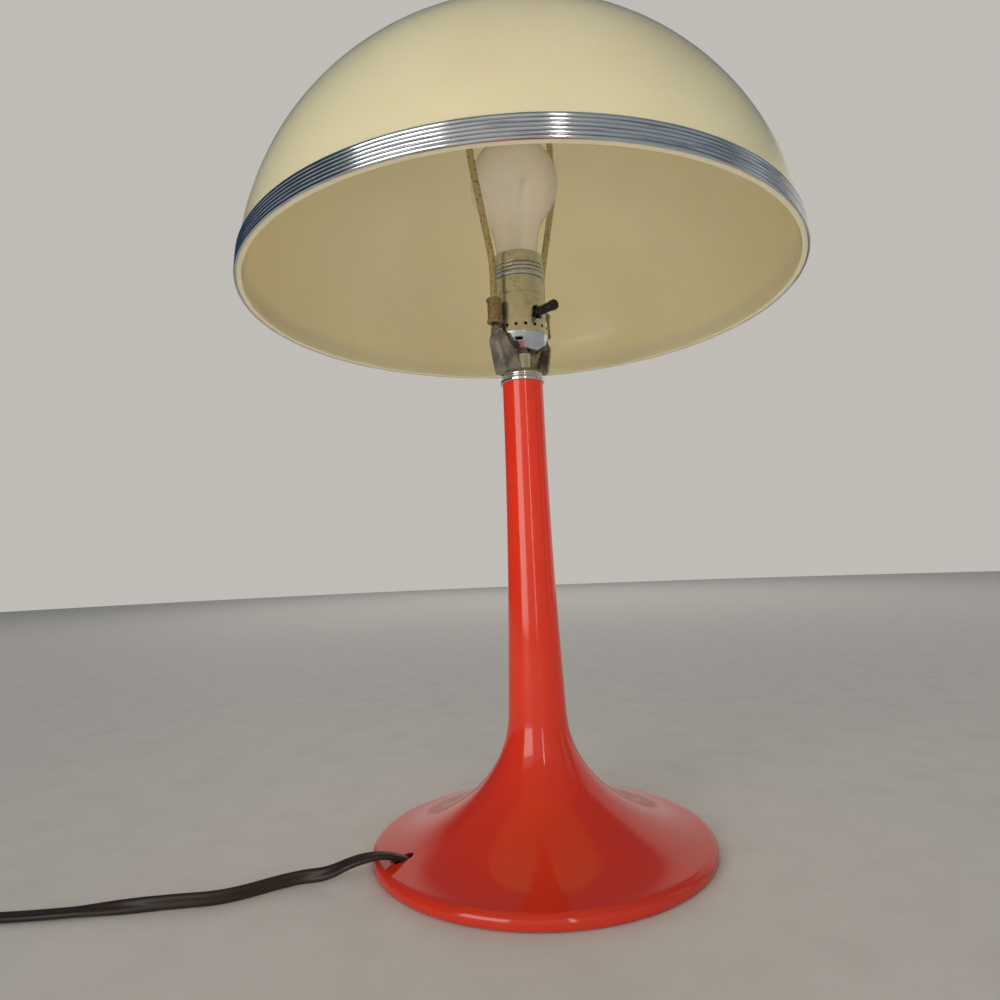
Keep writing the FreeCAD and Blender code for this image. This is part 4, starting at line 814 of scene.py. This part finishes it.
# --- shade
@dataclass
class Shade:
    """Acrylic dome, its reeded trim, and the washer and knob on top."""

    rim_z: float = 349.3
    radius: float = 178.5
    wall: float = 3.0
    edge: float = 0.3
    lean: float = 2.4
    shoulder: float = 169.0
    shoulder_end: float = 45.4
    hole: float = 4.0
    band_height: float = 12.4
    band_gap: float = 0.15
    band_sheet: float = 0.8
    reeds: int = 6
    reed_rise: float = 0.42
    reed_power: float = 0.7
    washer_bore: float = 3.4
    washer_radius: float = 8.5
    washer_sheet: float = 1.0
    knob_foot: float = 516.2

    def on_shoulder(self, slope: Array | float) -> tuple[Array, Array]:
        """Find the outside of the dome's side where it has turned to a slope in radians from upright.

        The side is an arc of radius R from the slope a at the edge: at slope b the radius has fallen by
        R (cos a - cos b) and the height has grown by R (sin b - sin a).

        Args:
            slope: one angle, or several.

        Returns:
            Radius and height there.
        """
        low = math.radians(self.lean)
        return (self.radius - self.shoulder * (math.cos(low) - np.cos(slope)),
                self.rim_z + self.shoulder * (np.sin(slope) - math.sin(low)))

    def dome_line(self, inset: float) -> Array:
        """Work out the dome's outside, or a parallel line inside it, from the edge up to the hole.

        The crown is a sphere's cap that goes on from the shoulder's end.

        Args:
            inset: how far inside the outside it runs.

        Returns:
            (count, 2) places of (radius, height).
        """
        slope = arc(self.lean, self.shoulder_end, 1.2)
        radius, height = self.on_shoulder(slope)
        shoulder = together(radius - inset * np.cos(slope), height - inset * np.sin(slope))
        end = math.radians(self.shoulder_end)
        crown_r, crown_z = self.on_shoulder(end)
        sphere = crown_r / math.cos(end)
        centre = crown_z - sphere * math.sin(end)
        slope = arc(self.shoulder_end, math.degrees(math.acos(self.hole / (sphere - inset))), 1.2)[1:]
        across, up = polar(sphere - inset, slope)
        return np.concatenate([shoulder, together(across, centre + up)])

    def dome(self) -> Piece:
        """Turn the dome, of even wall, with its cut edge just broken.

        Returns:
            The object.
        """
        outer, inner = self.dome_line(0.0), self.dome_line(self.wall)
        outer[0, 1] += self.edge
        inner[0] = (inner[0, 0], self.rim_z + self.edge)
        foot = np.array([[self.radius - self.edge, self.rim_z], [inner[0, 0] + self.edge, self.rim_z]])
        return lathe("shade_dome", np.concatenate([outer[::-1], foot, inner]), 320, ring=True)

    def band(self) -> Piece:
        """Roll the trim: half-round reeds, one above the other, follow the shade's side.

        Its outside at height h above the edge is the shade's line plus gap, sheet and a reed's rise times a power of
        |sin(pi reeds h / H)|.

        Returns:
            The object.
        """
        height = np.linspace(0, self.band_height, self.reeds * 14 + 1)
        slope = np.arcsin(math.sin(math.radians(self.lean)) + height / self.shoulder)
        side = self.on_shoulder(slope)[0] + self.band_gap
        reed = np.abs(np.sin(np.pi * self.reeds * height / self.band_height)) ** self.reed_power
        outer = together(side + self.band_sheet + self.reed_rise * reed, self.rim_z + height)
        inner = together(side, self.rim_z + height)[::-1][::7]
        return lathe("shade_band", np.concatenate([outer, inner]), 360, ring=True, crease=60)

    def washer(self) -> Piece:
        """Turn the washer on the dome's crown.

        Returns:
            The object.
        """
        low, high = self.knob_foot - self.washer_sheet, self.knob_foot
        bore, wide = self.washer_bore, self.washer_radius
        line = rounded([(bore, low + 0.5), (bore, low), (wide, low, 0.3), (wide, high, 0.35), (bore, high),
                        (bore, low + 0.5)])
        return lathe("shade_washer", line, 96, ring=True)

    def knob(self) -> Piece:
        """Turn the finial: a foot, a waist and a flattened ball over a bore for the stud.

        Returns:
            The object.
        """
        z = self.knob_foot
        line = rounded([(0, z + 15), (3.25, z + 13.5), (3.25, z, 0.2), (7.2, z, 0.5), (7.2, z + 1.6, 0.6),
                        (4.4, z + 3.4, 2.0), (4.0, z + 6.8, 2.5), (8.0, z + 9.6, 2.5), (9.0, z + 13.5, 4.0),
                        (7.6, z + 18.6, 4.5), (3.4, z + 20.9, 3.5), (0, z + 21.0)], 8)
        return lathe("finial", line, 96)

    def build(self) -> None:
        """Make and dress the shade."""
        mount(self.dome(), "shade", CREAM_ACRYLIC, "cream_acrylic", "shade_dome")
        mount(self.band(), "shade", BRIGHT_TRIM, "chrome", "shade_band")
        mount(self.washer(), "shade", AGED_BRASS, "aged_brass", "shade_washer")
        mount(self.knob(), "finial", AGED_BRASS, "aged_brass", "finial")


# --- bulb holder
@dataclass
class Holder:
    """Plated bulb holder with its turn switch."""

    cap_azimuth: float = -18.0
    neck: float = 6.4
    neck_low: float = 301.9
    neck_top: float = 314.2
    bowl_top: float = 325.0
    cap_radius: float = 18.3
    cap_top: float = 334.0
    cap_sheet: float = 0.8
    cap_segments: int = 720
    hole_z: float = 329.6
    holes: int = 18
    hole_depth: float = 0.6
    hole_size: float = 0.6
    mouth_size: float = 1.25
    slot_z: float = 320.4
    slot_turn: float = -76.0
    slot_radius: float = 16.2
    slot_half: tuple[float, float] = (2.6, 0.85)
    slot_depth: float = 0.7
    shell: float = 17.2
    shell_sheet: float = 0.7
    shell_low: float = 326.4
    shell_top: float = 380.0
    seam_z: float = 352.0
    seam_step: float = 0.14
    thread_low: float = 363.4
    thread_high: float = 373.8
    thread_pitch: float = 2.6
    thread_rise: float = 0.65
    thread_start: float = 2.2
    collar_middle: float = 1.5
    collar_spread: float = 0.8
    under_middle: float = 0.1
    under_spread: float = 0.4
    seam_spread: float = 0.35
    # How dark the painted shade in the thread's roots and under the collar is, and the darkened seam line.
    painted_shade: tuple[float, float, float] = (0.85, 0.75, 0.3)
    crest_share: float = 0.45
    root_depth: float = 0.12
    notch_width: float = 8.0
    notch_top: float = 343.4
    knob_azimuth: float = -48.0
    knob_z: float = 338.2
    flutes: int = 8
    flute_depth: float = 0.28
    flute_from: float = 20.5
    flute_edge: float = 3.0

    def cap(self) -> Piece:
        """Turn the cap from neck to rim, with a ring of small holes punched in and a slot cut in its bowl.

        Near each hole's centre the sheet sinks inwards by a depth over 1 + (d^2 / size)^5, with d the distance, and
        in the slot by one over 1 + ((u / a)^6 + (v / b)^6)^2. Both stay closed, and painted shade darkens their
        mouths as if one looked into them.

        Returns:
            The object.
        """
        neck, wide, inside = self.neck, self.cap_radius, self.cap_radius - self.cap_sheet
        line = finer(rounded([
            (5.1, self.neck_low), (neck, self.neck_low, 0.3), (neck, self.neck_top - 1, 0.3),
            (neck + 0.9, self.neck_top - 0.4, 0.5), (11.5, self.neck_top + 1.2, 4.0), (16.6, 320.2, 6.0),
            (wide, self.bowl_top - 0.3, 1.0), (wide, self.cap_top - 0.2, 0.3), (inside, self.cap_top, 0.2),
            (inside, 325.5, 1.0), (15.7, 320.8, 6.0), (11.0, self.neck_top + 2.2, 3.0),
            (5.1, self.neck_top + 0.6, 0.3)]), 0.35)
        radius, height = line[:, :1], line[:, 1:]
        angle = all_round(self.cap_segments)
        step = 2 * np.pi / self.holes
        off = (angle - math.radians(self.cap_azimuth) + step / 2) % step - step / 2
        away = (wide * off) ** 2 + (height - self.hole_z) ** 2
        outside = radius > wide - 0.2
        hole, mouth = outside / (1 + (away / self.hole_size) ** 5), outside / (1 + (away / self.mouth_size) ** 9)
        turn = (angle - math.radians(self.cap_azimuth + self.slot_turn) + np.pi) % (2 * np.pi) - np.pi
        across, up = self.slot_radius * turn / self.slot_half[0], (height - self.slot_z) / self.slot_half[1]
        bowl = np.r_[True, np.diff(line[:, 1]) > -0.01][:, None] & (radius > 10)
        slot = bowl / (1 + (across ** 6 + up ** 6) ** 2)
        grid = lathe_grid(line, self.cap_segments)
        grid[..., :2] *= (1 - (self.hole_depth * hole + self.slot_depth * slot) / np.maximum(radius, 1))[..., None]
        # Painted shade in the holes' mouths and in the slot, which stay closed.
        return grid_object("socket_cap", grid, Close.ROUND, 50, np.maximum(mouth, slot))

    def barrel(self) -> Piece:
        """Draw the shell, with a rolled seam, a coarse screw thread at its mouth and the switch's notch.

        At height z and share u of the way round, the angle is a = n(z) + u (360 - 2 n(z)) from the notch's middle,
        where n(z) is the notch's half angle there. The radius is R, a hair more below the seam, plus the thread: a
        cosine of z / pitch - a / 360 kept between the thread's ends, and one round collar under it. Painted shade
        darkens the thread's roots and the collar's foot, and the seam is darkened to a line.

        Returns:
            The object, with its sheet's thickness.
        """
        half_width = self.notch_width / 2
        arch_z = self.notch_top - half_width
        height = np.concatenate([np.linspace(self.shell_low, self.notch_top, 46),
                                 np.linspace(self.notch_top, self.shell_top, 190)[1:]])[:, None]
        half = np.sqrt(np.clip(half_width ** 2 - np.clip(height - arch_z, 0, None) ** 2, 0, None))
        notch = np.arcsin(np.where(height >= self.notch_top - 1e-6, 0.0, half) / self.shell)
        angle = notch + np.linspace(0, 1, 241) * (2 * np.pi - 2 * notch)
        above = height - self.thread_low
        wave = 0.5 * np.cos(2 * np.pi * above / self.thread_pitch - angle)
        window = held(above - self.thread_start) * held(self.thread_high - height)
        crest, root = (0.5 + wave) * window, (0.5 - wave) ** 6 * window
        collar = bell((above - self.collar_middle) / self.collar_spread)
        under = bell((above - self.under_middle) / self.under_spread)
        seam = bell((height - self.seam_z) / self.seam_spread)
        radius = (self.shell + self.seam_step * held((self.seam_z - height) / 0.5)
                  + self.thread_rise * (self.crest_share * crest + collar) - self.root_depth * root)
        # Painted shade in the thread's roots and under the collar, with the seam darkened to a line.
        in_root, in_under, in_seam = self.painted_shade
        dark = held(in_root * root + in_under * under + in_seam * seam)
        grid = together(*polar(radius, angle + math.radians(self.knob_azimuth)), height)
        piece = grid_object("socket_shell", grid, Close.OPEN, 50, dark)
        thicken(piece, self.shell_sheet, -1.0)
        return piece

    def knob(self) -> Piece:
        """Mould the knob along the switch's axis: its radius falls by a shallow cosine flute eight times round.

        Returns:
            The object.
        """
        line = finer(rounded([(19.0, 1.65), (19.0, 3.0, 0.4), (29.5, 3.0, 1.5), (31.0, 3.4, 1.0), (34.5, 3.4, 0.9),
                              (34.5, 0.0)], 6), 0.5)
        along, radius = line[:, :1], line[:, 1:]
        around = all_round(96)
        flute = self.flute_depth * (0.5 + 0.5 * np.cos(self.flutes * around)) ** 2
        radius = radius - flute * (held(along - self.flute_from) * held(radius / self.flute_edge))
        grid = together(along, *polar(radius, around))
        grid = np.concatenate([grid, grid[-1:] * np.array([1.0, 0.0, 0.0])])
        return grid_object("turn_knob", turned_about_z(grid, self.knob_azimuth) + UP * self.knob_z, Close.ROUND, 45)

    def build(self) -> None:
        """Make and dress the holder."""
        mount(self.cap(), "stand", LIT_PUNCHED_NICKEL, "nickel_shell", "socket_cap")
        mount(self.barrel(), "stand", NICKEL, "nickel_shell", "socket_shell")
        mount(self.knob(), "switch", BLACK_PHENOLIC, "black_moulding", "turn_knob")
        dress_nodes(LINER_CARD, "shell_liner")
        dress_nodes(BLACK_PHENOLIC, "socket_block", "switch_rotor")
        dress_nodes(PLAIN_BRASS, "terminal_screws", "screw_shell", "centre_contact")
        dress_nodes(ZINC, "switch_shaft")


# --- bulb
@dataclass
class Bulb:
    """Frosted screw-in bulb."""

    base_top: float = 379.6
    neck: float = 13.3
    flare_z: float = 387.0
    flare_radius: float = 14.0
    flare_angle: float = 35.0
    flare_pull: float = 0.42
    globe: float = 30.0
    centre: float = 434.5
    wall: float = 0.8

    def glass(self) -> Piece:
        """Blow the glass, of even wall: neck, a hollow flare that blends into the globe, and the globe's top.

        The flare is a cubic curve between its two ends, pulled along their directions.

        Returns:
            The object.
        """
        angle = math.radians(self.flare_angle)
        touch = np.array([self.globe * math.cos(angle), self.centre - self.globe * math.sin(angle)])
        start = np.array([self.flare_radius, self.flare_z])
        heading = np.array([math.sin(angle), math.cos(angle)])
        share = np.linspace(0, 1, 28)[1:-1, None]
        pull = self.flare_pull * float(np.linalg.norm(touch - start))
        first, second = start + pull * np.array([0.06, 1.0]), touch - pull * heading
        flare = ((1 - share) ** 3 * start + 3 * share * (1 - share) ** 2 * first
                 + 3 * share ** 2 * (1 - share) * second + share ** 3 * touch)
        across, up = polar(self.globe, arc(-self.flare_angle, 90, 4))
        dome = together(across, self.centre + up)
        dome[-1, 0] = 0.0
        outer = np.concatenate([[[self.neck, self.base_top]], start[None], flare, dome])
        inner = offset_line(outer, self.wall)
        inner[-1] = (0.0, outer[-1, 1] - self.wall)
        inner[0] = (self.neck - self.wall, self.base_top)
        return lathe("bulb_globe", np.concatenate([inner[::-1], outer]), 160)

    def build(self) -> None:
        """Make and dress the bulb."""
        mount(self.glass(), "bulb", FROSTED_GLASS, "frosted_glass", "bulb_globe")
        dress_nodes(THIN_ALUMINIUM, "bulb_cap")
        dress_nodes(BLACK_GLASS, "bulb_insulator")
        dress_nodes(SOLDER, "bulb_contact")
        dress_nodes(CLEAR_GLASS, "bulb_stem")
        dress_nodes(TUNGSTEN, "filament")


# --- cord
@dataclass
class Lead:
    """Flat twin lead: out of the foot, over its lip, along the table and into a coil with its plug."""

    width: float = 7.4
    waist: float = 1.55
    hole: CordHole = CordHole()
    table_z: float = 2.05
    layer: float = 4.0
    coil_x: float = -335.0
    coil_y: float = -133.5
    coil_outer: float = 50.0
    coil_inner: float = 26.3
    coil_pitch: float = 7.95
    coil_dip: float = 1.5
    coil_turns: int = 3
    coil_slack: float = 1.0192
    tail: float = 36.0
    tail_points: tuple[tuple[float, float], ...] = ((35, 5.6), (20, 3.0), (8, 0.0), (0, 0.0))
    plug_z: float = 11.75
    turns: tuple[tuple[float, float], ...] = ((0, 0), (14, 0), (62, 84), (92, 92), (135, 80), (176, 4), (1e5, 0))
    inner_top: float = 318.2
    inner_floor: float = 5.1
    inner_radius: float = 2.8
    inner_bend: float = 28.0
    drop_bend: float = 8.8
    flat_from: float = 20.0
    flat_over: float = 50.0
    plug_neck: tuple[float, float] = (4.3, 4.8)
    plug_growth: tuple[float, float] = (2.5, 6.4)
    plug_grows_over: float = 24.0
    groove_depth: float = 0.45
    groove_first: float = 9.0
    groove_step: float = 3.0
    route: tuple[tuple[float, float, float], ...] = (
        (-95.6, -47.0, 14.4), (-107.4, -49.8, 12.6), (-122.2, -47.6, 5.4), (-136.6, -47.0, 4.1),
        (-149.4, -53.2, 3.8), (-163.0, -63.6, 3.8), (-177.2, -70.3, 3.8), (-198.0, -72.6, 3.8),
        (-223.0, -76.6, 3.4), (-251.0, -80.0, 2.6), (-280.0, -82.4, 2.1))

    def coil_points(self) -> Array:
        """Work out the control points of the coil, sixteen to a turn.

        Over its quarters q the radius falls by the pitch each turn, dips where the lead climbs over half a turn, and
        grows again on the upper layer. The points lie a little outside, because the spline cuts inside them.

        Returns:
            (count, 3) places.
        """
        first = 4 * self.coil_turns
        last = 2 * first + 1
        quarter = np.linspace(0, last, 4 * last + 1)
        lower = self.coil_outer - self.coil_pitch / 4 * quarter
        upper = self.coil_inner + self.coil_pitch / 4 * (quarter - first - 2)
        climb = held((quarter - first) / 2)
        radius = np.where(quarter <= first, lower, np.where(quarter >= first + 2, upper, self.coil_inner))
        radius = (radius - self.coil_dip * np.sin(np.pi * climb)) * self.coil_slack
        across, up = polar(radius, np.pi / 2 * (1 + quarter))
        return together(self.coil_x + across, self.coil_y + up, self.table_z + self.layer * eased(climb))

    def plug_place(self) -> tuple[Array, Array]:
        """Find where the coil's tail ends in the plug.

        Returns:
            The place, and the unit direction of the lead there.
        """
        radius = self.coil_inner + self.coil_pitch / 4 * (4 * self.coil_turns - 1)
        return np.array([self.coil_x - radius, self.coil_y - self.tail, self.plug_z]), np.array([0.0, -1.0, 0.0])

    def spline(self) -> Piece:
        """Lay one NURBS spline of order three through the route's own control points.

        Returns:
            The curve's object.
        """
        start, leaving = self.hole.place()
        last = np.array([self.coil_x + self.width, self.coil_y + self.coil_outer, self.table_z])
        plug, heading = self.plug_place()
        points = np.concatenate([
            [start, start + leaving * self.width * 1.1], np.array(self.route),
            [last + [self.width * 3, 0, 0], last], self.coil_points()[:-1],
            [plug - heading * behind - UP * below for behind, below in self.tail_points]])
        curve = bpy.data.curves.new("lead_line", "CURVE")
        curve.dimensions = "3D"
        line = curve.splines.new("NURBS")
        line.points.add(len(points) - 1)
        line.points.foreach_set("co", np.c_[points * MM, np.ones(len(points))].ravel())
        line.order_u = 3
        line.use_endpoint_u = True
        line.resolution_u = 8
        return add_object("lead_line", curve)

    def twin_section(self) -> Array:
        """Work out two round cores in one skin: the oval whose distances from two points have one product.

        Its radius is r^2 = a^2 cos 2t + sqrt(b^4 - a^4 sin^2 2t), half its width sqrt(a^2 + b^2) and half its waist
        sqrt(b^2 - a^2).

        Returns:
            (count, 2) places.
        """
        half = self.width / 2
        b2, a2 = (half ** 2 + self.waist ** 2) / 2, (half ** 2 - self.waist ** 2) / 2
        t = all_round(28)
        return together(*polar(np.sqrt(a2 * np.cos(2 * t) + np.sqrt(b2 ** 2 - (a2 * np.sin(2 * t)) ** 2)), t))

    def twist(self, path: Array) -> Array:
        """Turn of the section along the path: flat at the hole, on its edge past the lip, flat again at the coil."""
        walked, degrees = zip(*self.turns)
        return np.interp(np.append(0, np.cumsum(spans(path))), walked, np.radians(degrees))

    def cord(self) -> tuple[Piece, Array]:
        """Sweep the free lead with its coil, from the hole to the plug.

        Returns:
            The object, and the spline's points in metres.
        """
        line = self.spline()
        mesh = finished_mesh(line)
        flat = np.empty(len(mesh.vertices) * 3)
        mesh.vertices.foreach_get("co", flat)
        path = flat.reshape(-1, 3) / MM
        bpy.data.objects.remove(line)
        return sweep("lead", path, self.twin_section(), UP, self.twist(path)), path * MM

    def inside(self) -> Piece:
        """Sweep the lead inside stem and foot, round in the stem and of the same flat section at the hole's middle.

        It drops down the stem, bends by an arc on to the floor, and rises by another to the hole.

        Returns:
            The object.
        """
        start, leaving = self.hole.place()
        out = leaving * [1, 1, 0] / np.linalg.norm(leaving[:2])
        pitch, bend, floor = math.radians(self.hole.pitch), self.inner_bend, self.inner_floor
        run = (start[2] - floor - bend * (1 - math.cos(pitch))) / math.sin(pitch)
        angle = arc(0, self.hole.pitch, 4)
        rise = start - leaving * run + out * bend * (np.sin(angle) - math.sin(pitch))[:, None]
        rise[:, 2] = floor + bend * (1 - np.cos(angle))
        angle = arc(90, 0, 9)
        drop = out * self.drop_bend * (1 - np.sin(angle))[:, None]
        drop[:, 2] = floor + self.drop_bend - self.drop_bend * np.cos(angle)
        path = distinct(finer(np.concatenate([[[0.01, 0, self.inner_top]], drop, rise, [start]]), 4.0), 0.02)
        share = held((np.linalg.norm(path[:, :2], axis=1) - self.flat_from) / self.flat_over)[:, None, None]
        section = circle_section(self.inner_radius, 28)[None] * (1 - share) + self.twin_section()[None] * share
        return sweep("inner_cord", path, section[..., ::-1] * [1, -1], np.cross(out, UP))

    def plug(self) -> Piece:
        """Mould the plug: rounded-box sections, |u/a|^n + |v/b|^n = 1, that grow from the lead to the face.

        Three finger grooves are pressed in: the section shrinks by a small cosine there.

        Returns:
            The object.
        """
        place, heading = self.plug_place()
        along = np.array([0.0, 0.35, 1.2, 3, 5, 7, *range(9, 19), 20, 22, 24, 26, 27.6, 28.6, 29.0])
        growth = eased(held(along / self.plug_grows_over))
        grip = self.groove_depth * held(-np.cos(2 * np.pi * (along - self.groove_first) / self.groove_step))
        grip *= (along > 8.5) & (along < 18.5)
        ends = np.array([0.82, 0.95] + [1.0] * (len(along) - 4) + [0.97, 0.9])
        power = (2.4 + 1.6 * growth)[:, None]
        t = all_round(64)
        radius = (np.abs(np.cos(t)) ** power + np.abs(np.sin(t)) ** power) ** (-1 / power)
        halves = [neck + more * growth - grip for neck, more in zip(self.plug_neck, self.plug_growth)]
        section = together(*(side * half[:, None] for side, half in zip(polar(radius, t), halves)))
        return sweep("plug_body", place + heading * along[:, None], section * ends[:, None, None], UP)

    def build(self) -> None:
        piece, path = self.cord()
        mount(piece, "stand", BROWN_VINYL, "brown_lead", "cord_free", "cord_coil")
        plug = mount(self.plug(), "stand", PLUG_VINYL, "plug_moulding", "plug_body")
        mount(self.inside(), "stand", BROWN_VINYL, "brown_lead", "inner_cord")
        dress_nodes(PLAIN_BRASS, "plug_blades")
        LOG.info("lead measures %.3f m", spans(path).sum())


# --- studio
@dataclass(frozen=True)
class Lamp:
    """One soft box, hidden from the camera.

    Attributes:
        name: the light's name.
        place: where it hangs, in metres.
        size: its width and height in metres.
        power: its strength in watts.
        colour: its tint, as an sRGB hex value.
        aim: the point that it faces, in metres.
        mirrored: whether gloss shows it.
    """

    name: str
    place: tuple[float, float, float]
    size: tuple[float, float]
    power: float
    colour: str
    aim: tuple[float, float, float] = (0.0, 0.0, 0.25)
    mirrored: bool = True

    def hang(self) -> None:
        """Put the light into the scene."""
        data = bpy.data.lights.new(self.name, "AREA")
        data.shape, (data.size, data.size_y) = "RECTANGLE", self.size
        data.energy, data.color = self.power, linear(self.colour)[:3]
        light = add_object(self.name, data)
        light.rotation_mode = "QUATERNION"
        light.rotation_quaternion = (Vector(self.aim) - Vector(self.place)).to_track_quat("-Z", "Y")
        light.location = self.place
        light.visible_glossy, light.visible_camera = self.mirrored, False


@dataclass
class Studio:
    """Camera at the photograph's place, a pale table and soft light.

    The walls are tones by degrees round from the camera's side, and the heights at which they change are upward
    parts of a direction of length one.
    """

    sensor: float = 36.0
    frame_px: float = 1000.0
    focal_px: float = 685.0
    distance: float = 447.4
    height: float = 172.7
    pitch: float = 5.69
    yaw: float = 2.34
    roll: float = -2.34
    table_drop: float = 0.02
    room_strength: float = 1.15
    backdrop: str = "#B4B0AB"
    ceiling: str = "#7C7A78"
    picture_rail: tuple[float, float] = (0.5, 0.6)
    ceiling_edge: tuple[float, float] = (0.84, 0.93)
    walls: tuple[tuple[float, str], ...] = (
        (-180, "#C0BCB6"), (-156, "#C0BCB6"), (-146, "#2B3A4C"), (-60, "#26333F"), (-50, "#B9B7B4"), (-22, "#C2C0BC"),
        (0, "#B4B3B0"), (18, "#A6A7A7"), (34, "#868D92"), (70, "#7C858C"), (78, "#39444E"), (92, "#A9AFB2"),
        (104, "#3C464F"), (120, "#B9B5AF"), (180, "#C0BCB6"))
    upper_walls: tuple[tuple[float, str], ...] = (
        (-180, "#4C5B67"), (-100, "#3B4854"), (-64, "#3F4A54"), (-48, "#7D7C7A"), (0, "#7A7977"), (40, "#6C747A"),
        (95, "#4C5963"), (180, "#4C5B67"))

    def camera(self) -> None:
        """Set up the camera: level axes turned by yaw and pitch, then rolled about the line of sight."""
        yaw, pitch, roll = (math.radians(value) for value in (self.yaw, self.pitch, self.roll))
        right = Vector((math.cos(yaw), math.sin(yaw), 0))
        ahead = Vector((-math.sin(yaw) * math.cos(pitch), math.cos(yaw) * math.cos(pitch), math.sin(pitch)))
        upward = right.cross(ahead)
        turned_right = right * math.cos(roll) + upward * math.sin(roll)
        turned_up = upward * math.cos(roll) - right * math.sin(roll)
        lens = bpy.data.cameras.new("camera")
        lens.sensor_width = self.sensor
        lens.lens = self.sensor * self.focal_px / self.frame_px
        lens.clip_start, lens.clip_end = 0.01, 60.0
        place = Matrix((turned_right, turned_up, -ahead)).transposed().to_4x4()
        place.translation = Vector((0.0, -self.distance, self.height)) * MM
        camera = add_object("camera", lens)
        camera.matrix_world = place
        bpy.context.scene.camera = camera

    def table(self) -> None:
        """Make the pale table top with its fine pebbled grain: a round sheet that reaches far past the picture."""
        top = Finish("pale_laminate_table_top", "#E6E1DA", "#E0DBD4", patch_mm=35, rough=(0.6, 0.7), relief_mm=2.2,
                     relief_height=0.12)
        rings = np.array([0.0, 300.0, 1200.0, 6000.0])[:, None]
        grid = together(*polar(rings, all_round(96)), -self.table_drop)
        piece = dress(grid_object("table_top", grid, Close.ROUND), top)

    def room(self) -> None:
        """Light the room by direction alone.

        The share of the way round is (atan2(x, -y) + pi) / 2 pi, from behind the lamp over its left, the camera's
        side and its right. The lower walls, pale with dark stretches, turn into darker upper walls and those into an
        even ceiling as the direction rises. The camera itself sees one plain pale backdrop.
        """
        world = bpy.data.worlds.new("room")
        bpy.context.scene.world = world
        world.use_nodes = True
        tree = world.node_tree
        place = add_node(tree, "ShaderNodeTexCoord").outputs["Generated"]
        right, back, rise = add_node(tree, "ShaderNodeSeparateXYZ", {}, {0: place}).outputs
        forward = add_node(tree, "ShaderNodeMath", {1: -1.0}, {0: back}, operation="MULTIPLY").outputs[0]
        turn = add_node(tree, "ShaderNodeMath", {}, {0: right, 1: forward}, operation="ARCTAN2").outputs[0]
        share = add_node(tree, "ShaderNodeMapRange", {1: -math.pi, 2: math.pi}, {0: turn}).outputs[0]
        tones = []
        for stops in (self.walls, self.upper_walls):
            node = add_node(tree, "ShaderNodeValToRGB", {}, {0: share})
            ramp = node.color_ramp.elements
            while len(ramp) < len(stops):
                ramp.new(0.5)
            for stop, (degrees, code) in zip(ramp, stops):
                stop.position, stop.color = (degrees + 180.0) / 360.0, linear(code)
            tones.append(node.outputs[0])
        even = add_node(tree, "ShaderNodeRGB").outputs[0]
        even.default_value = linear(self.ceiling)
        light = tones[0]
        for (start, end), above in ((self.picture_rail, tones[1]), (self.ceiling_edge, even)):
            past = add_node(tree, "ShaderNodeMapRange", {1: start, 2: end}, {0: rise},
                            interpolation_type="SMOOTHSTEP").outputs[0]
            light = add_node(tree, "ShaderNodeMix", {}, {"Factor": past, 6: light, 7: above},
                             data_type="RGBA").outputs[2]
        camera_ray = add_node(tree, "ShaderNodeLightPath").outputs["Is Camera Ray"]
        seen = add_node(tree, "ShaderNodeMix", {7: linear(self.backdrop)}, {"Factor": camera_ray, 6: light},
                        data_type="RGBA").outputs[2]
        tree.links.new(seen, tree.nodes["Background"].inputs["Color"])
        tree.nodes["Background"].inputs["Strength"].default_value = self.room_strength

    def lamps(self) -> list[Lamp]:
        """List the lights: a window on the left, a door's gap, washes over the floor, and bounce off the table.

        Returns:
            The lights, in the order in which they are hung.
        """
        above_table = 0.004
        lamps = [
            Lamp("window_left", (-1.30, -1.78, 0.62), (1.15, 1.1), 13, "#FFF9F2"),
            Lamp("window_head", (-1.22, -1.66, 1.38), (1.05, 0.5), 0.8, "#FFFDF8"),
            Lamp("door_gap", (0.51, -1.93, 0.78), (0.09, 1.4), 2.5, "#FFF6E8"),
            Lamp("table_bounce_front", (0.0, -0.75, above_table), (1.3, 0.4), 5.5, "#FFF8F0",
                 (0.0, -0.75, 1.0), False)]
        for x, y, power in ((0.0, 3.4, 20), (3.2, 0.0, 10), (-3.2, 0.0, 10), (0.0, -3.2, 10)):
            lamps.append(Lamp("floor_wash", (x, y, 1.7), (3.4, 3.4), power, "#FFFAF4", (x, y, 0.0), False))
        for name, x in (("table_bounce_left", -0.36), ("table_bounce_right", 0.36)):
            lamps.append(Lamp(name, (x, 0.04, above_table), (0.3, 0.5), 0.75, "#FFF1E8", (x, 0.04, 1.0), False))
        return lamps

    def build(self) -> None:
        """Set up camera, table, room and lights. Colours are shown as they are, so that the enamel stays vivid."""
        bpy.context.scene.view_settings.view_transform = "Standard"
        self.camera()
        self.table()
        self.room()
        for lamp in self.lamps():
            lamp.hang()


def main() -> None:
    """Build the studio and the lamp, the camera and the lead first."""
    logging.basicConfig(level=logging.INFO, format="%(name)s: %(message)s")
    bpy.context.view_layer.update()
    for part in (Studio(), Lead(), FootAndStem(), Harp(), Shade(), Holder(), Bulb()):
        part.build()


if __name__ == "__main__":
    main()
